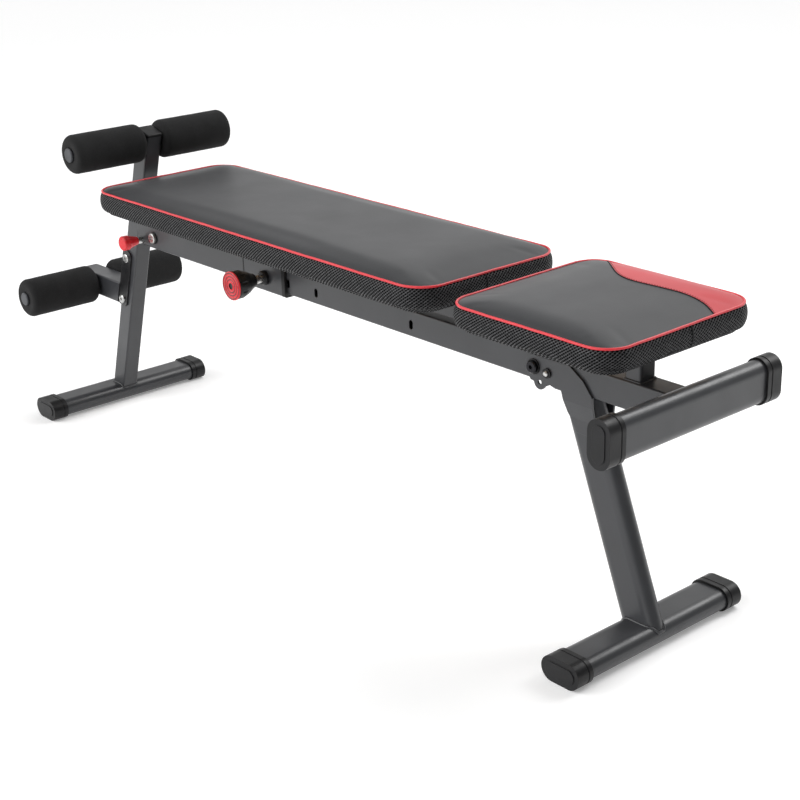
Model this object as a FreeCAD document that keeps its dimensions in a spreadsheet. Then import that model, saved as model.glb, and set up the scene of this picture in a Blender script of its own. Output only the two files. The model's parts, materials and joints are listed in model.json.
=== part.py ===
import FreeCAD, Part
import math
import os
from types import SimpleNamespace

import Sketcher
from FreeCAD import Placement, Rotation, Vector

# Foldable sit-up bench. X runs along the bench with +X at the seat end, Y across it and Z up.
# The origin is on the floor, under the middle of the bench. All sizes are in millimetres.

os.makedirs("parts", exist_ok=True)
doc = FreeCAD.newDocument("sit_up_bench")

DIMENSIONS = {
    # main beam, a square tube along X
    "beam_side": 40, "beam_wall": 2, "beam_corner": 3, "beam_mid_z": 351.5, "beam_end_x": -509.3,
    # flat-oval tube of the cross bar, the feet and the rear leg, with its end caps
    "oval_wide": 60, "oval_thick": 30, "oval_wall": 2,
    "cap_wide": 65.4, "cap_thick": 36.7, "cap_depth": 30, "cap_wall": 2.7, "cap_fit": 0.1,
    "cross_x": 715.6, "cross_half": 167.3,
    "rear_foot_x": 658.6, "rear_foot_half": 167, "front_foot_x": -643.1, "front_foot_half": 168.7,
    # rear leg and its hinge
    "rear_pivot_x": 471.1, "leg_top_x": 538, "leg_lean": 21.0, "leg_stop_gap": 0.3,
    "plate_inner": 20.3, "plate_thick": 3, "lobe_radius": 16.5, "sight_hole_x": 10.8,
    "sight_hole_z": -20, "sight_hole": 7, "sight_lobe": 10.5, "rear_lock_x": 496.1, "rear_lock_z": 348,
    # front post and its hinge
    "front_pivot_x": -458.9, "post_x": -534.4, "post_lean": 17.2, "post_deep": 35, "post_wide": 30,
    "post_wall": 2, "post_top": 189, "post_foot": 352, "post_cap": 5, "cheek_outer": 15,
    "cheek_thick": 3, "cheek_radius": 14, "hinge_slot": 33, "hinge_slot_end_x": -429.9,
    # lower arm, bolted to the post through a channel bracket
    "arm_side": 40, "arm_z": 222, "arm_end_x": -727.95, "arm_cap": 6, "channel_thick": 3,
    "channel_reach": 5.5, "channel_low": -162, "channel_high": -47.6, "channel_bolt_x": -6.5,
    "channel_bolt_low": -147.9, "channel_bolt_high": -61.6,
    # foam rollers and their axles
    "axle_radius": 11, "axle_wall": 2, "upper_axle_up": 173, "lower_axle_x": -684.25,
    "upper_inner": 19, "upper_outer": 155.6, "lower_inner": 23, "lower_outer": 162,
    "upper_foam": 33, "lower_foam": 34.6, "foam_edge": 8, "plug_radius": 12, "plug_flange": 3.5,
    # pads
    "board_z": 422, "board_thick": 8, "board_inset": 14, "board_sunk": 4, "pad_thick": 37,
    "pad_edge": 7, "back_head_x": -456, "back_hinge_end_x": 374.6, "back_width": 282, "back_corner": 46,
    "seat_start_x": 419.1, "seat_end_x": 711.1, "seat_width": 290, "seat_corner": 42,
    "riser_long": 28, "riser_wide": 30, "riser_wall": 2, "riser_plate": 3, "riser_plate_long": 50,
    "riser_plate_wide": 120, "seat_riser_rear_x": 636.1, "seat_riser_front_x": 460.1,
    "rest_x": -371.9, "rest_gap": 0.3,
    # backrest hinge, strut and sliding sleeve
    "hinge_x": 349.1, "hinge_z": 395, "link_length": 238.5, "lug_inner": 16.5, "lug_thick": 3,
    "rail_inner": 21, "rail_thick": 3, "rail_flange": 18, "rail_low": 383, "rail_start_x": 92.1,
    "strut_wide": 24, "strut_deep": 14, "strut_wall": 2, "strut_eye": 8,
    "sleeve_side": 50, "sleeve_wall": 3, "sleeve_half": 50, "liner_gap": 0.1, "liner_inside": 20,
    "collar_thick": 8, "sleeve_mid_x": -133.9,
    # pull pins and the holes that they drop into
    "pin_radius": 4, "pin_fit": 0.05, "lock_gap": 0.3, "pin_z": 350, "slot_wide": 8.2, "slot_tall": 14.5,
    "hole_flat_x": -127.9, "hole_low_x": -73.4, "hole_middle_x": -2.3, "hole_upright_x": 219.2,
    "front_lock_x": -500.5, "front_lock_z": 341, "lock_hole": 8.2,
    # fasteners
    "pivot_bolt": 5, "pivot_hole": 5.05, "pivot_clear": 5.1, "bolt_head": 9, "bolt_head_tall": 5,
    "washer_radius": 11, "washer_thick": 1.6, "small_bolt": 4, "small_hole": 4.1, "screw_head": 6,
}

sheet = doc.addObject("Spreadsheet::Sheet", "dims")
for row, (alias, number) in enumerate(DIMENSIONS.items(), start=1):
    sheet.set(f"A{row}", alias)
    sheet.set(f"B{row}", str(number))
    sheet.setAlias(f"B{row}", alias)
doc.recompute()


class Size:
    """A length or angle with both its number and the sheet expression that gives it."""

    def __init__(self, value, text):
        self.value = float(value)
        self.text = text

    def joined(self, other, sign, result):
        return Size(result, f"({self.text} {sign} {size(other).text})")

    def __add__(self, other):
        return self.joined(other, "+", self.value + size(other).value)

    def __sub__(self, other):
        return self.joined(other, "-", self.value - size(other).value)

    def __mul__(self, other):
        return self.joined(other, "*", self.value * size(other).value)

    def __truediv__(self, other):
        return self.joined(other, "/", self.value / size(other).value)

    def __neg__(self):
        return size(0) - self

    def __radd__(self, other):
        return size(other) + self

    def __rsub__(self, other):
        return size(other) - self

    def __rmul__(self, other):
        return size(other) * self


def size(number):
    return number if isinstance(number, Size) else Size(number, repr(number))


v = SimpleNamespace(**{alias: Size(sheet.get(alias), f"dims.{alias}") for alias in DIMENSIONS})
SUB_PARTS = []
# longer than any tube or plate is wide, for cuts that go right through
THROUGH = 200


# ---- sketch, solid and placement helpers ----

def bind(target, path, length):
    target.setExpression(path, size(length).text)


def place(target, x=0, y=0, z=0, tilt=0):
    """Puts the object at (x, y, z), turned by tilt degrees about Y."""
    where = Vector(size(x).value, size(y).value, size(z).value)
    target.Placement = Placement(where, Rotation(Vector(0, 1, 0), size(tilt).value))
    bind(target, "Placement.Base.x", x)
    bind(target, "Placement.Base.y", y)
    bind(target, "Placement.Base.z", z)
    if size(tilt).value:
        bind(target, "Placement.Rotation.Angle", tilt)


def sub_part(target, label, **where):
    target.Label = label
    place(target, **where)
    SUB_PARTS.append(target)
    return target


def new_body(name):
    return doc.addObject("PartDesign::Body", name)


def sketch_on(body, plane, right=0, up=0, out=0):
    """A sketch on an origin plane of the body, moved in the plane and along its normal."""
    sketch = body.newObject("Sketcher::SketchObject", body.Name + "_sketch")
    origin_plane = next(item for item in body.Origin.OriginFeatures if item.Role == plane)
    sketch.AttachmentSupport = [(origin_plane, "")]
    sketch.MapMode = "FlatFace"
    bind(sketch, "AttachmentOffset.Base.x", right)
    bind(sketch, "AttachmentOffset.Base.y", up)
    bind(sketch, "AttachmentOffset.Base.z", out)
    return sketch


def dimension(sketch, kind, *where, length):
    length = size(length)
    index = sketch.addConstraint(Sketcher.Constraint(kind, *where, length.value))
    bind(sketch, f"Constraints[{index}]", length)


def outline(sketch, points):
    """A closed outline of straight lines through points that are all dimensioned."""
    first = sketch.GeometryCount
    corners = [(size(right), size(up)) for right, up in points]
    for start, end in zip(corners, corners[1:] + corners[:1]):
        ends = [Vector(right.value, up.value, 0) for right, up in (start, end)]
        sketch.addGeometry(Part.LineSegment(*ends), False)
    for index, (right, up) in enumerate(corners):
        following = first + (index + 1) % len(corners)
        sketch.addConstraint(Sketcher.Constraint("Coincident", first + index, 2, following, 1))
        dimension(sketch, "DistanceX", -1, 1, first + index, 1, length=right)
        dimension(sketch, "DistanceY", -1, 1, first + index, 1, length=up)


def circle(sketch, radius):
    index = sketch.addGeometry(Part.Circle(Vector(), Vector(0, 0, 1), size(radius).value), False)
    sketch.addConstraint(Sketcher.Constraint("Coincident", index, 3, -1, 1))
    dimension(sketch, "Radius", index, length=radius)


def rounded(sketch, width, height, radius):
    """A rectangle about the sketch origin with rounded corners. A corner radius of half of one
    side makes a flat oval."""
    width, height, radius = size(width), size(height), size(radius)
    flat_oval = abs(min(width.value, height.value) - 2 * radius.value) < 1e-6
    reach_right = width.value / 2 - radius.value
    reach_up = height.value / 2 - radius.value
    centres = [(1, 1), (-1, 1), (-1, -1), (1, -1)]
    if flat_oval and reach_right > 0:
        centres = [(1, 0), (-1, 0)]
    elif flat_oval:
        centres = [(0, 1), (0, -1)]
    turn = 2 * math.pi / len(centres)
    begin = {(1, 1): 0, (1, 0): -math.pi / 2, (0, 1): 0}[centres[0]]
    first = sketch.GeometryCount
    for step, (right, up) in enumerate(centres):
        middle = Vector(right * reach_right, up * reach_up, 0)
        arc = Part.ArcOfCircle(Part.Circle(middle, Vector(0, 0, 1), radius.value),
                               begin + step * turn, begin + (step + 1) * turn)
        sketch.addGeometry(arc, False)
    count = len(centres)
    for step in range(count):
        leaving = sketch.getPoint(first + step, 2)
        arriving = sketch.getPoint(first + (step + 1) % count, 1)
        sketch.addGeometry(Part.LineSegment(leaving, arriving), False)
    for step in range(count):
        line = first + count + step
        sketch.addConstraint(Sketcher.Constraint("Tangent", first + step, 2, line, 1))
        sketch.addConstraint(Sketcher.Constraint("Tangent", line, 2, first + (step + 1) % count, 1))
        if step:
            sketch.addConstraint(Sketcher.Constraint("Equal", first, first + step))
    lines = [first + count + step for step in range(count)]
    if count == 4:
        for line, way in zip(lines, ("Horizontal", "Vertical", "Horizontal", "Vertical")):
            sketch.addConstraint(Sketcher.Constraint(way, line))
        sketch.addConstraint(Sketcher.Constraint("Symmetric", first, 3, first + 2, 3, -1, 1))
        dimension(sketch, "DistanceX", lines[1], 1, lines[3], 1, length=width)
        dimension(sketch, "DistanceY", lines[2], 1, lines[0], 1, length=height)
    else:
        along = "DistanceX" if reach_right > 0 else "DistanceY"
        long_side = width if reach_right > 0 else height
        way = "Horizontal" if reach_right > 0 else "Vertical"
        sketch.addConstraint(Sketcher.Constraint(way, lines[0]))
        sketch.addConstraint(Sketcher.Constraint("Symmetric", first, 3, first + 1, 3, -1, 1))
        dimension(sketch, along, first + 1, 3, first, 3, length=long_side - 2 * radius.value)
    dimension(sketch, "Radius", first, length=radius)


def pad(body, sketch, length, both_ways=False, reversed_way=False):
    feature = body.newObject("PartDesign::Pad", body.Name + "_pad")
    feature.Profile = sketch
    feature.SideType = "Symmetric" if both_ways else "One side"
    feature.Reversed = reversed_way
    bind(feature, "Length", length)
    sketch.Visibility = False
    doc.recompute()
    return feature


def pocket(body, sketch, length, both_ways=False, reversed_way=False):
    """Cuts the sketch out of the body and makes sure that it took material away."""
    before = body.Shape.Volume
    feature = body.newObject("PartDesign::Pocket", body.Name + "_pocket")
    feature.Profile = sketch
    feature.SideType = "Symmetric" if both_ways else "One side"
    feature.Reversed = reversed_way
    bind(feature, "Length", length)
    doc.recompute()
    if body.Shape.Volume > before - 1:
        raise RuntimeError(f"{feature.Name} cut nothing")
    return feature


def cross_hole(body, x, z, radius, both_walls=True):
    """A round hole across the body, through both of its walls or only the near (-Y) one."""
    sketch = sketch_on(body, "XZ_Plane", right=x, up=z)
    circle(sketch, radius)
    depth = THROUGH if both_walls else THROUGH / 2
    return pocket(body, sketch, depth, both_walls, reversed_way=not both_walls)


def turned(body, *profiles):
    """Turns profiles of (distance along Y, radius) points about the body's Y axis."""
    sketch = sketch_on(body, "YZ_Plane")
    for profile in profiles:
        outline(sketch, profile)
    feature = body.newObject("PartDesign::Revolution", body.Name + "_turned")
    feature.Profile = sketch
    feature.ReferenceAxis = (sketch, ["H_Axis"])
    feature.Angle = 360
    doc.recompute()
    return feature


def ring(near, far, inner, outer):
    return [(near, inner), (far, inner), (far, outer), (near, outer)]


def mirrored(profile):
    return [(-size(along), radius) for along, radius in reversed(profile)]


def round_edges(body, radius, wanted):
    """Fillets every edge of the body's tip that the wanted test accepts."""
    tip = body.Tip
    names = [f"Edge{number}" for number, edge in enumerate(tip.Shape.Edges, start=1) if wanted(edge)]
    feature = body.newObject("PartDesign::Fillet", body.Name + "_fillet")
    feature.Base = (tip, names)
    bind(feature, "Radius", radius)
    doc.recompute()
    return feature


def level_at(height):
    """A test for edges that lie flat at one height of the body."""
    def wanted(edge):
        box = edge.BoundBox
        return abs(box.ZMin - size(height).value) < 1e-3 and abs(box.ZMax - size(height).value) < 1e-3
    return wanted


def boolean(kind, name, base, tool):
    result = doc.addObject(kind, name)
    result.Base = base
    result.Tool = tool
    return result


# ---- pieces that several assemblies share ----

def square_tube(body, plane, side, other_side, wall, corner, length, out):
    sketch = sketch_on(body, plane, out=out)
    rounded(sketch, side, other_side, corner)
    rounded(sketch, side - 2 * wall, other_side - 2 * wall, corner - wall)
    pad(body, sketch, length)


def oval_bar(name, upright=False, margin=0):
    """A solid flat-oval bar along Y, used to cope the tubes that are welded to it."""
    body = new_body(name)
    sketch = sketch_on(body, "XZ_Plane")
    wide, thick = v.oval_wide + 2 * margin, v.oval_thick + 2 * margin
    if upright:
        wide, thick = thick, wide
    rounded(sketch, wide, thick, v.oval_thick / 2 + margin)
    pad(body, sketch, THROUGH, both_ways=True)
    return body


def oval_tube(label, half, x, z, upright=False):
    """A flat-oval tube along Y that ends inside its two end caps."""
    body = new_body(label)
    sketch = sketch_on(body, "XZ_Plane")
    wall = v.oval_wall
    wide, thick = v.oval_wide, v.oval_thick
    if upright:
        wide, thick = thick, wide
    rounded(sketch, wide, thick, v.oval_thick / 2)
    rounded(sketch, wide - 2 * wall, thick - 2 * wall, v.oval_thick / 2 - wall)
    pad(body, sketch, 2 * (half - v.cap_wall - v.cap_fit), both_ways=True)
    return sub_part(body, label, x=x, z=z)


def end_caps(name, half, x, z, upright=False):
    """The two plastic caps of a flat-oval tube, each with a socket and a raised end panel."""
    groove_depth = 0.8
    groove_from = 7
    groove_wide = 2.5
    panel_margin = 8
    panel_proud = 1.2
    for side_name, side in (("near", -1), ("far", 1)):
        body = new_body(f"{name}_cap_{side_name}")
        outward = side > 0

        def oval(out, wide, thick):
            sketch = sketch_on(body, "XZ_Plane", out=-side * size(out))
            if upright:
                wide, thick = thick, wide
            rounded(sketch, wide, thick, (thick if not upright else wide) / 2)
            return sketch

        shell = oval(half - v.cap_depth, v.cap_wide, v.cap_thick)
        pad(body, shell, v.cap_depth - panel_proud, reversed_way=outward)
        panel = oval(half - panel_proud, v.cap_wide - 2 * panel_margin, v.cap_thick - 2 * panel_margin)
        pad(body, panel, panel_proud, reversed_way=outward)
        socket = oval(half - v.cap_depth, v.oval_wide + v.cap_fit, v.oval_thick + v.cap_fit)
        pocket(body, socket, v.cap_depth - v.cap_wall, reversed_way=not outward)
        groove = oval(half - v.cap_depth + groove_from, v.cap_wide + 2, v.cap_thick + 2)
        inner_wide, inner_thick = v.cap_wide - 2 * groove_depth, v.cap_thick - 2 * groove_depth
        if upright:
            inner_wide, inner_thick = inner_thick, inner_wide
        rounded(groove, inner_wide, inner_thick, v.cap_thick / 2 - groove_depth)
        pocket(body, groove, groove_wide, reversed_way=not outward)
        sub_part(body, f"{name}_cap_{side_name}", x=x, z=z)


def gathered(label, pieces):
    """Identical pieces as one sub-part: a group of separate solids."""
    group = doc.addObject("Part::Compound", label)
    group.Links = pieces
    return sub_part(group, label)


def pivot_fasteners():
    """The bolt, cap nut and two washers of each hinge, in one group of each kind."""
    plate_face = v.plate_inner + v.plate_thick + 0.3
    rail_face = v.rail_inner + v.rail_thick + 0.3
    hinges = {"front": (v.front_pivot_x, v.beam_mid_z, v.beam_side / 2),
              "rear": (v.rear_pivot_x, v.beam_mid_z, plate_face),
              "backrest": (v.hinge_x, v.hinge_z, rail_face)}
    bolts, nuts, washers = [], [], []
    socket_deep, socket_radius, rim = 3, 3, 1.5
    for name, (x, z, seat) in hinges.items():
        washer_out = seat + v.washer_thick
        head_end = -(washer_out + v.bolt_head_tall)
        nut_end = washer_out + v.bolt_head_tall + 2
        bolt = new_body(name + "_pivot_bolt")
        turned(bolt, [(head_end, socket_radius), (head_end, v.bolt_head - rim),
                      (head_end + rim, v.bolt_head), (-washer_out, v.bolt_head),
                      (-washer_out, v.pivot_bolt), (nut_end, v.pivot_bolt), (nut_end, 0),
                      (head_end + socket_deep, 0), (head_end + socket_deep, socket_radius)])
        nut = new_body(name + "_pivot_nut")
        turned(nut, [(washer_out, v.pivot_hole), (washer_out, v.bolt_head),
                     (washer_out + 4, v.bolt_head), (washer_out + v.bolt_head_tall, v.bolt_head - 2),
                     (washer_out + v.bolt_head_tall, v.pivot_hole)])
        pair = new_body(name + "_pivot_washers")
        washer = ring(seat, washer_out, v.pivot_hole, v.washer_radius)
        turned(pair, washer, mirrored(washer))
        for piece, group in ((bolt, bolts), (nut, nuts), (pair, washers)):
            place(piece, x=x, z=z)
            group.append(piece)
    gathered("pivot_bolts", bolts)
    gathered("pivot_nuts", nuts)
    gathered("pivot_washers", washers)


# ---- fixed frame: beam, cross bar, seat ----

def main_beam():
    beam = new_body("main_beam")
    length = v.cross_x - v.oval_thick / 2 - v.beam_end_x
    square_tube(beam, "YZ_Plane", v.beam_side, v.beam_side, v.beam_wall, v.beam_corner, length,
                out=v.beam_end_x)
    for hole_x in (v.hole_flat_x, v.hole_low_x, v.hole_middle_x, v.hole_upright_x):
        slot = sketch_on(beam, "XZ_Plane", right=hole_x, up=v.pin_z - v.beam_mid_z)
        rounded(slot, v.slot_wide, v.slot_tall, v.slot_wide / 2)
        pocket(beam, slot, THROUGH / 2, reversed_way=True)
    cross_hole(beam, v.front_pivot_x, 0, v.pivot_hole)
    cross_hole(beam, v.rear_pivot_x, 0, v.pivot_hole)
    cross_hole(beam, v.front_lock_x, v.front_lock_z - v.beam_mid_z, v.lock_hole / 2, both_walls=False)
    cross_hole(beam, v.rear_lock_x, v.rear_lock_z - v.beam_mid_z, v.lock_hole / 2)
    # the post's hinge cheeks swing down through a slot in the bottom wall
    slot_long = v.hinge_slot_end_x - v.beam_end_x
    swing = sketch_on(beam, "XY_Plane", right=v.beam_end_x + slot_long / 2, out=-v.beam_side / 2 - 1)
    rounded(swing, slot_long + 6, v.hinge_slot, 3)
    pocket(beam, swing, v.beam_wall + 3, reversed_way=True)
    trim_long = 7
    trim_tall = 9
    trim = sketch_on(beam, "XZ_Plane")
    low = -v.beam_side / 2
    outline(trim, [(v.beam_end_x - 1, low - 1), (v.beam_end_x + trim_long, low - 1),
                   (v.beam_end_x - 1, low + trim_tall)])
    pocket(beam, trim, THROUGH, both_ways=True)
    sub_part(beam, "main_beam", z=v.beam_mid_z)


def cross_bar():
    oval_tube("cross_tube", v.cross_half, v.cross_x, v.beam_mid_z, upright=True)
    end_caps("cross", v.cross_half, v.cross_x, v.beam_mid_z, upright=True)


def seat_support(label, x):
    """A short upright tube on the beam with a plate on top that carries the seat board."""
    body = new_body(label)
    height = v.board_z - v.riser_plate - v.beam_mid_z - v.beam_side / 2
    square_tube(body, "XY_Plane", v.riser_long, v.riser_wide, v.riser_wall, 5, height, out=0)
    plate = sketch_on(body, "XY_Plane", out=height)
    rounded(plate, v.riser_plate_long, v.riser_plate_wide, 6)
    pad(body, plate, v.riser_plate)
    sub_part(body, label, x=x, z=v.beam_mid_z + v.beam_side / 2)


def board_outline(body, start_x, end_x, width, corner):
    sketch = sketch_on(body, "XY_Plane")
    inset = v.board_inset
    rounded(sketch, end_x - start_x - 2 * inset, width - 2 * inset, corner - inset)
    return sketch


def padded_board(name, start_x, end_x, width, corner):
    """A plywood board and the cushion on it. The board is let a little way into the cushion."""
    middle_x = (start_x + end_x) / 2
    board = new_body(f"{name}_board")
    pad(board, board_outline(board, start_x, end_x, width, corner), v.board_thick)
    sub_part(board, f"{name}_board", x=middle_x, z=v.board_z)
    cushion = new_body(f"{name}_cushion")
    sketch = sketch_on(cushion, "XY_Plane")
    rounded(sketch, end_x - start_x, width, corner)
    pad(cushion, sketch, v.pad_thick)
    round_edges(cushion, v.pad_edge, level_at(v.pad_thick))
    round_edges(cushion, v.pad_edge, level_at(0))
    recess = board_outline(cushion, start_x, end_x, width, corner)
    pocket(cushion, recess, v.board_sunk, reversed_way=True)
    cushion_low = v.board_z + v.board_thick - v.board_sunk
    sub_part(cushion, f"{name}_cushion", x=middle_x, z=cushion_low)


def pads():
    padded_board("backrest", v.back_head_x, v.back_hinge_end_x, v.back_width, v.back_corner)
    padded_board("seat", v.seat_start_x, v.seat_end_x, v.seat_width, v.seat_corner)
    seat_support("seat_support_rear", v.seat_riser_rear_x)
    seat_support("seat_support_front", v.seat_riser_front_x)
    rest = new_body("backrest_rest")
    sketch = sketch_on(rest, "XY_Plane")
    rounded(sketch, v.riser_long, v.riser_wide, 6)
    pad(rest, sketch, v.board_z - v.rest_gap - v.beam_mid_z - v.beam_side / 2)
    sub_part(rest, "backrest_rest", x=v.rest_x, z=v.beam_mid_z + v.beam_side / 2)


# ---- rear leg ----

PLATE_OUTLINE = [(-4, 16), (64, 16.5), (89, 0.5), (105, -18.5), (107, -51), (103, -76), (74, -76),
                 (59, -51), (50, -22), (39, -22), (30, -19.5), (19, -25), (-6, -20), (-14, -8)]


def rear_leg():
    top = v.beam_mid_z - v.beam_side / 2 - v.leg_stop_gap
    leg = new_body("rear_leg_blank")
    # the blank runs past the foot below and the beam above, and is cut to both
    below, above_top = 335, 35
    sketch = sketch_on(leg, "XY_Plane", out=-below)
    wall = v.oval_wall
    rounded(sketch, v.oval_wide, v.oval_thick, v.oval_thick / 2)
    rounded(sketch, v.oval_wide - 2 * wall, v.oval_thick - 2 * wall, v.oval_thick / 2 - wall)
    pad(leg, sketch, below + above_top)
    place(leg, x=v.leg_top_x, z=top, tilt=-v.leg_lean)
    above = doc.addObject("Part::Box", "above_the_leg")
    above.Length = THROUGH
    above.Width = THROUGH
    above.Height = THROUGH
    place(above, x=v.leg_top_x - THROUGH / 2, y=-THROUGH / 2, z=top)
    foot_z = v.cap_thick / 2
    foot_bar = oval_bar("rear_foot_bar")
    place(foot_bar, x=v.rear_foot_x, z=foot_z)
    levelled = boolean("Part::Cut", "rear_leg_levelled", leg, above)
    coped = boolean("Part::Cut", "rear_leg_coped", levelled, foot_bar)
    doc.recompute()
    sub_part(largest_solid("rear_leg_tube", coped), "rear_leg_tube")
    oval_tube("rear_foot_tube", v.rear_foot_half, v.rear_foot_x, foot_z)
    end_caps("rear_foot", v.rear_foot_half, v.rear_foot_x, foot_z)


def largest_solid(name, source):
    """Keeps the largest solid of a boolean result, without the offcut below the weld."""
    feature = doc.addObject("Part::Feature", name)
    feature.Shape = max(source.Shape.Solids, key=lambda solid: solid.Volume)
    return feature


def bracket_plate(side_name, side):
    """A hinge plate of the rear leg: flat beside the beam, then bent in to lie on the leg."""
    blank = new_body(f"rear_bracket_blank_{side_name}")
    outside = v.plate_inner + v.plate_thick
    face = sketch_on(blank, "XZ_Plane")
    outline(face, PLATE_OUTLINE)
    pad(blank, face, outside + 2, reversed_way=side > 0)
    for right, up, radius in ((0, 0, v.lobe_radius), (v.sight_hole_x, v.sight_hole_z, v.sight_lobe)):
        lobe = sketch_on(blank, "XZ_Plane", right=right, up=up)
        circle(lobe, radius)
        pad(blank, lobe, outside + 2, reversed_way=side > 0)
    cross_hole(blank, 0, 0, v.pivot_clear)
    cross_hole(blank, v.sight_hole_x, v.sight_hole_z, v.sight_hole / 2)
    lock_z = v.rear_lock_z - v.beam_mid_z
    cross_hole(blank, v.rear_lock_x - v.rear_pivot_x, lock_z, v.pin_radius + v.pin_fit)
    bent = new_body(f"rear_bracket_bend_{side_name}")
    strip = sketch_on(bent, "YZ_Plane", out=-THROUGH / 2)
    bend_high, bend_low, bottom, leg_face = -33, -57, -80, v.oval_thick / 2
    profile = [(outside, 30), (v.plate_inner, 30), (v.plate_inner, bend_high), (leg_face, bend_low),
               (leg_face, bottom), (leg_face + v.plate_thick, bottom),
               (leg_face + v.plate_thick, bend_low), (outside, bend_high)]
    outline(strip, [(side * along, up) for along, up in profile])
    pad(bent, strip, THROUGH + THROUGH / 4)
    plate = boolean("Part::Common", f"rear_bracket_{side_name}", blank, bent)
    place(plate, x=v.rear_pivot_x, z=v.beam_mid_z)
    return plate


# ---- front post, lower arm and foam rollers ----

def post_placed(target, label):
    """Places an object whose own Z runs up along the leaning front post."""
    return sub_part(target, label, x=v.post_x, z=v.beam_mid_z, tilt=v.post_lean)


def on_post(up):
    """The X and Z of a point on the post's centre line, at a distance up along the post."""
    lean = math.radians(v.post_lean.value)
    return v.post_x + up * math.sin(lean), v.beam_mid_z + up * math.cos(lean)


def front_post():
    post = new_body("front_post_blank")
    square_tube(post, "XY_Plane", v.post_deep, v.post_wide, v.post_wall, 3, v.post_top + v.post_foot,
                out=-v.post_foot)
    cross_hole(post, 0, v.upper_axle_up, v.axle_radius + v.pin_fit)
    for up in (v.channel_bolt_low, v.channel_bolt_high):
        cross_hole(post, v.channel_bolt_x, up, v.small_hole)
    place(post, x=v.post_x, z=v.beam_mid_z, tilt=v.post_lean)
    foot_z = v.cap_thick / 2
    foot_bar = oval_bar("front_foot_bar")
    place(foot_bar, x=v.front_foot_x, z=foot_z)
    coped = boolean("Part::Cut", "front_post_coped", post, foot_bar)
    doc.recompute()
    sub_part(largest_solid("front_post_tube", coped), "front_post_tube")
    cap = new_body("front_post_cap")
    over = 0.6
    lid = sketch_on(cap, "XY_Plane", out=v.post_top)
    rounded(lid, v.post_deep + 2 * over, v.post_wide + 2 * over, 3.5)
    pad(cap, lid, v.post_cap)
    round_edges(cap, 3, level_at(v.post_top + v.post_cap))
    spigot_long = 8
    plug = sketch_on(cap, "XY_Plane", out=v.post_top - spigot_long)
    wall = v.post_wall + 0.1
    rounded(plug, v.post_deep - 2 * wall, v.post_wide - 2 * wall, 1)
    pad(cap, plug, spigot_long)
    # the spigot is hollowed where the roller axle crosses the post
    cross_hole(cap, 0, v.upper_axle_up, v.axle_radius + 0.3)
    post_placed(cap, "front_post_cap")
    oval_tube("front_foot_tube", v.front_foot_half, v.front_foot_x, foot_z)
    end_caps("front_foot", v.front_foot_half, v.front_foot_x, foot_z)


def hinge_cheeks():
    """The plates on the post that reach into the beam's end, and the tube between them."""
    angle = math.radians(v.post_lean.value)
    lean = math.tan(angle)
    weld_gap = 0.05
    face = v.post_x - v.front_pivot_x + v.post_deep / 2 / math.cos(angle) + weld_gap
    radius = v.cheek_radius
    cheeks = []
    for side_name, side in (("near", -1), ("far", 1)):
        cheek = new_body(f"front_cheek_{side_name}")
        out = -side * (v.cheek_outer - v.cheek_thick)
        plate = sketch_on(cheek, "XZ_Plane", out=out)
        outline(plate, [(face - radius * lean, -radius), (0, -radius), (0, radius),
                        (face + radius * lean, radius)])
        pad(cheek, plate, v.cheek_thick, reversed_way=side > 0)
        boss = sketch_on(cheek, "XZ_Plane", out=out)
        circle(boss, radius)
        pad(cheek, boss, v.cheek_thick, reversed_way=side > 0)
        cross_hole(cheek, 0, 0, v.pivot_clear)
        place(cheek, x=v.front_pivot_x, z=v.beam_mid_z)
        cheeks.append(cheek)
    gathered("front_cheeks", cheeks)
    spacer = new_body("front_hinge_spacer")
    half = v.cheek_outer - v.cheek_thick
    turned(spacer, ring(-half, half, v.pivot_clear, 8))
    sub_part(spacer, "front_hinge_spacer", x=v.front_pivot_x, z=v.beam_mid_z)


def arm_channel():
    channel = new_body("arm_channel")
    back = -v.post_deep / 2 - 0.1
    inside = v.post_wide / 2 + 0.1
    outside = inside + v.channel_thick
    section = sketch_on(channel, "XY_Plane", out=v.channel_low)
    outline(section, [(back - v.channel_thick, -outside), (v.channel_reach, -outside),
                      (v.channel_reach, -inside), (back, -inside), (back, inside),
                      (v.channel_reach, inside), (v.channel_reach, outside),
                      (back - v.channel_thick, outside)])
    pad(channel, section, v.channel_high - v.channel_low)

    def free_corner(edge):
        box = edge.BoundBox
        return abs(box.XMin - v.channel_reach.value) < 1e-3 and box.XLength < 1e-3 and box.ZLength < 1e-3
    round_edges(channel, 11, free_corner)
    for up in (v.channel_bolt_low, v.channel_bolt_high):
        cross_hole(channel, v.channel_bolt_x, up, v.small_hole)
    post_placed(channel, "arm_channel")
    arm_fasteners(outside)


def arm_fasteners(grip):
    """The two bolts and nuts that clamp the arm channel to the post between faces at +-grip."""
    lean = math.radians(v.post_lean.value)
    head, tall, rim, socket_deep, socket_radius = v.bolt_head - 1, 4.5, 1.5, 2.5, 2.5
    face = -grip - tall
    bolts, nuts = [], []
    for level, up in (("lower", v.channel_bolt_low), ("upper", v.channel_bolt_high)):
        bolt = new_body(f"arm_bolt_{level}")
        turned(bolt, [(face, socket_radius), (face, head - rim), (face + rim, head), (-grip, head),
                      (-grip, v.small_bolt), (grip + 7, v.small_bolt), (grip + 7, 0),
                      (face + socket_deep, 0), (face + socket_deep, socket_radius)])
        nut = new_body(f"arm_nut_{level}")
        turned(nut, ring(grip, grip + 6, v.small_hole, 7))
        x, z = on_post(up)
        bolt_x = x + v.channel_bolt_x * math.cos(lean)
        bolt_z = z - v.channel_bolt_x * math.sin(lean)
        for piece, group in ((bolt, bolts), (nut, nuts)):
            place(piece, x=bolt_x, z=bolt_z)
            group.append(piece)
    gathered("arm_bolts", bolts)
    gathered("arm_nuts", nuts)


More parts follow.
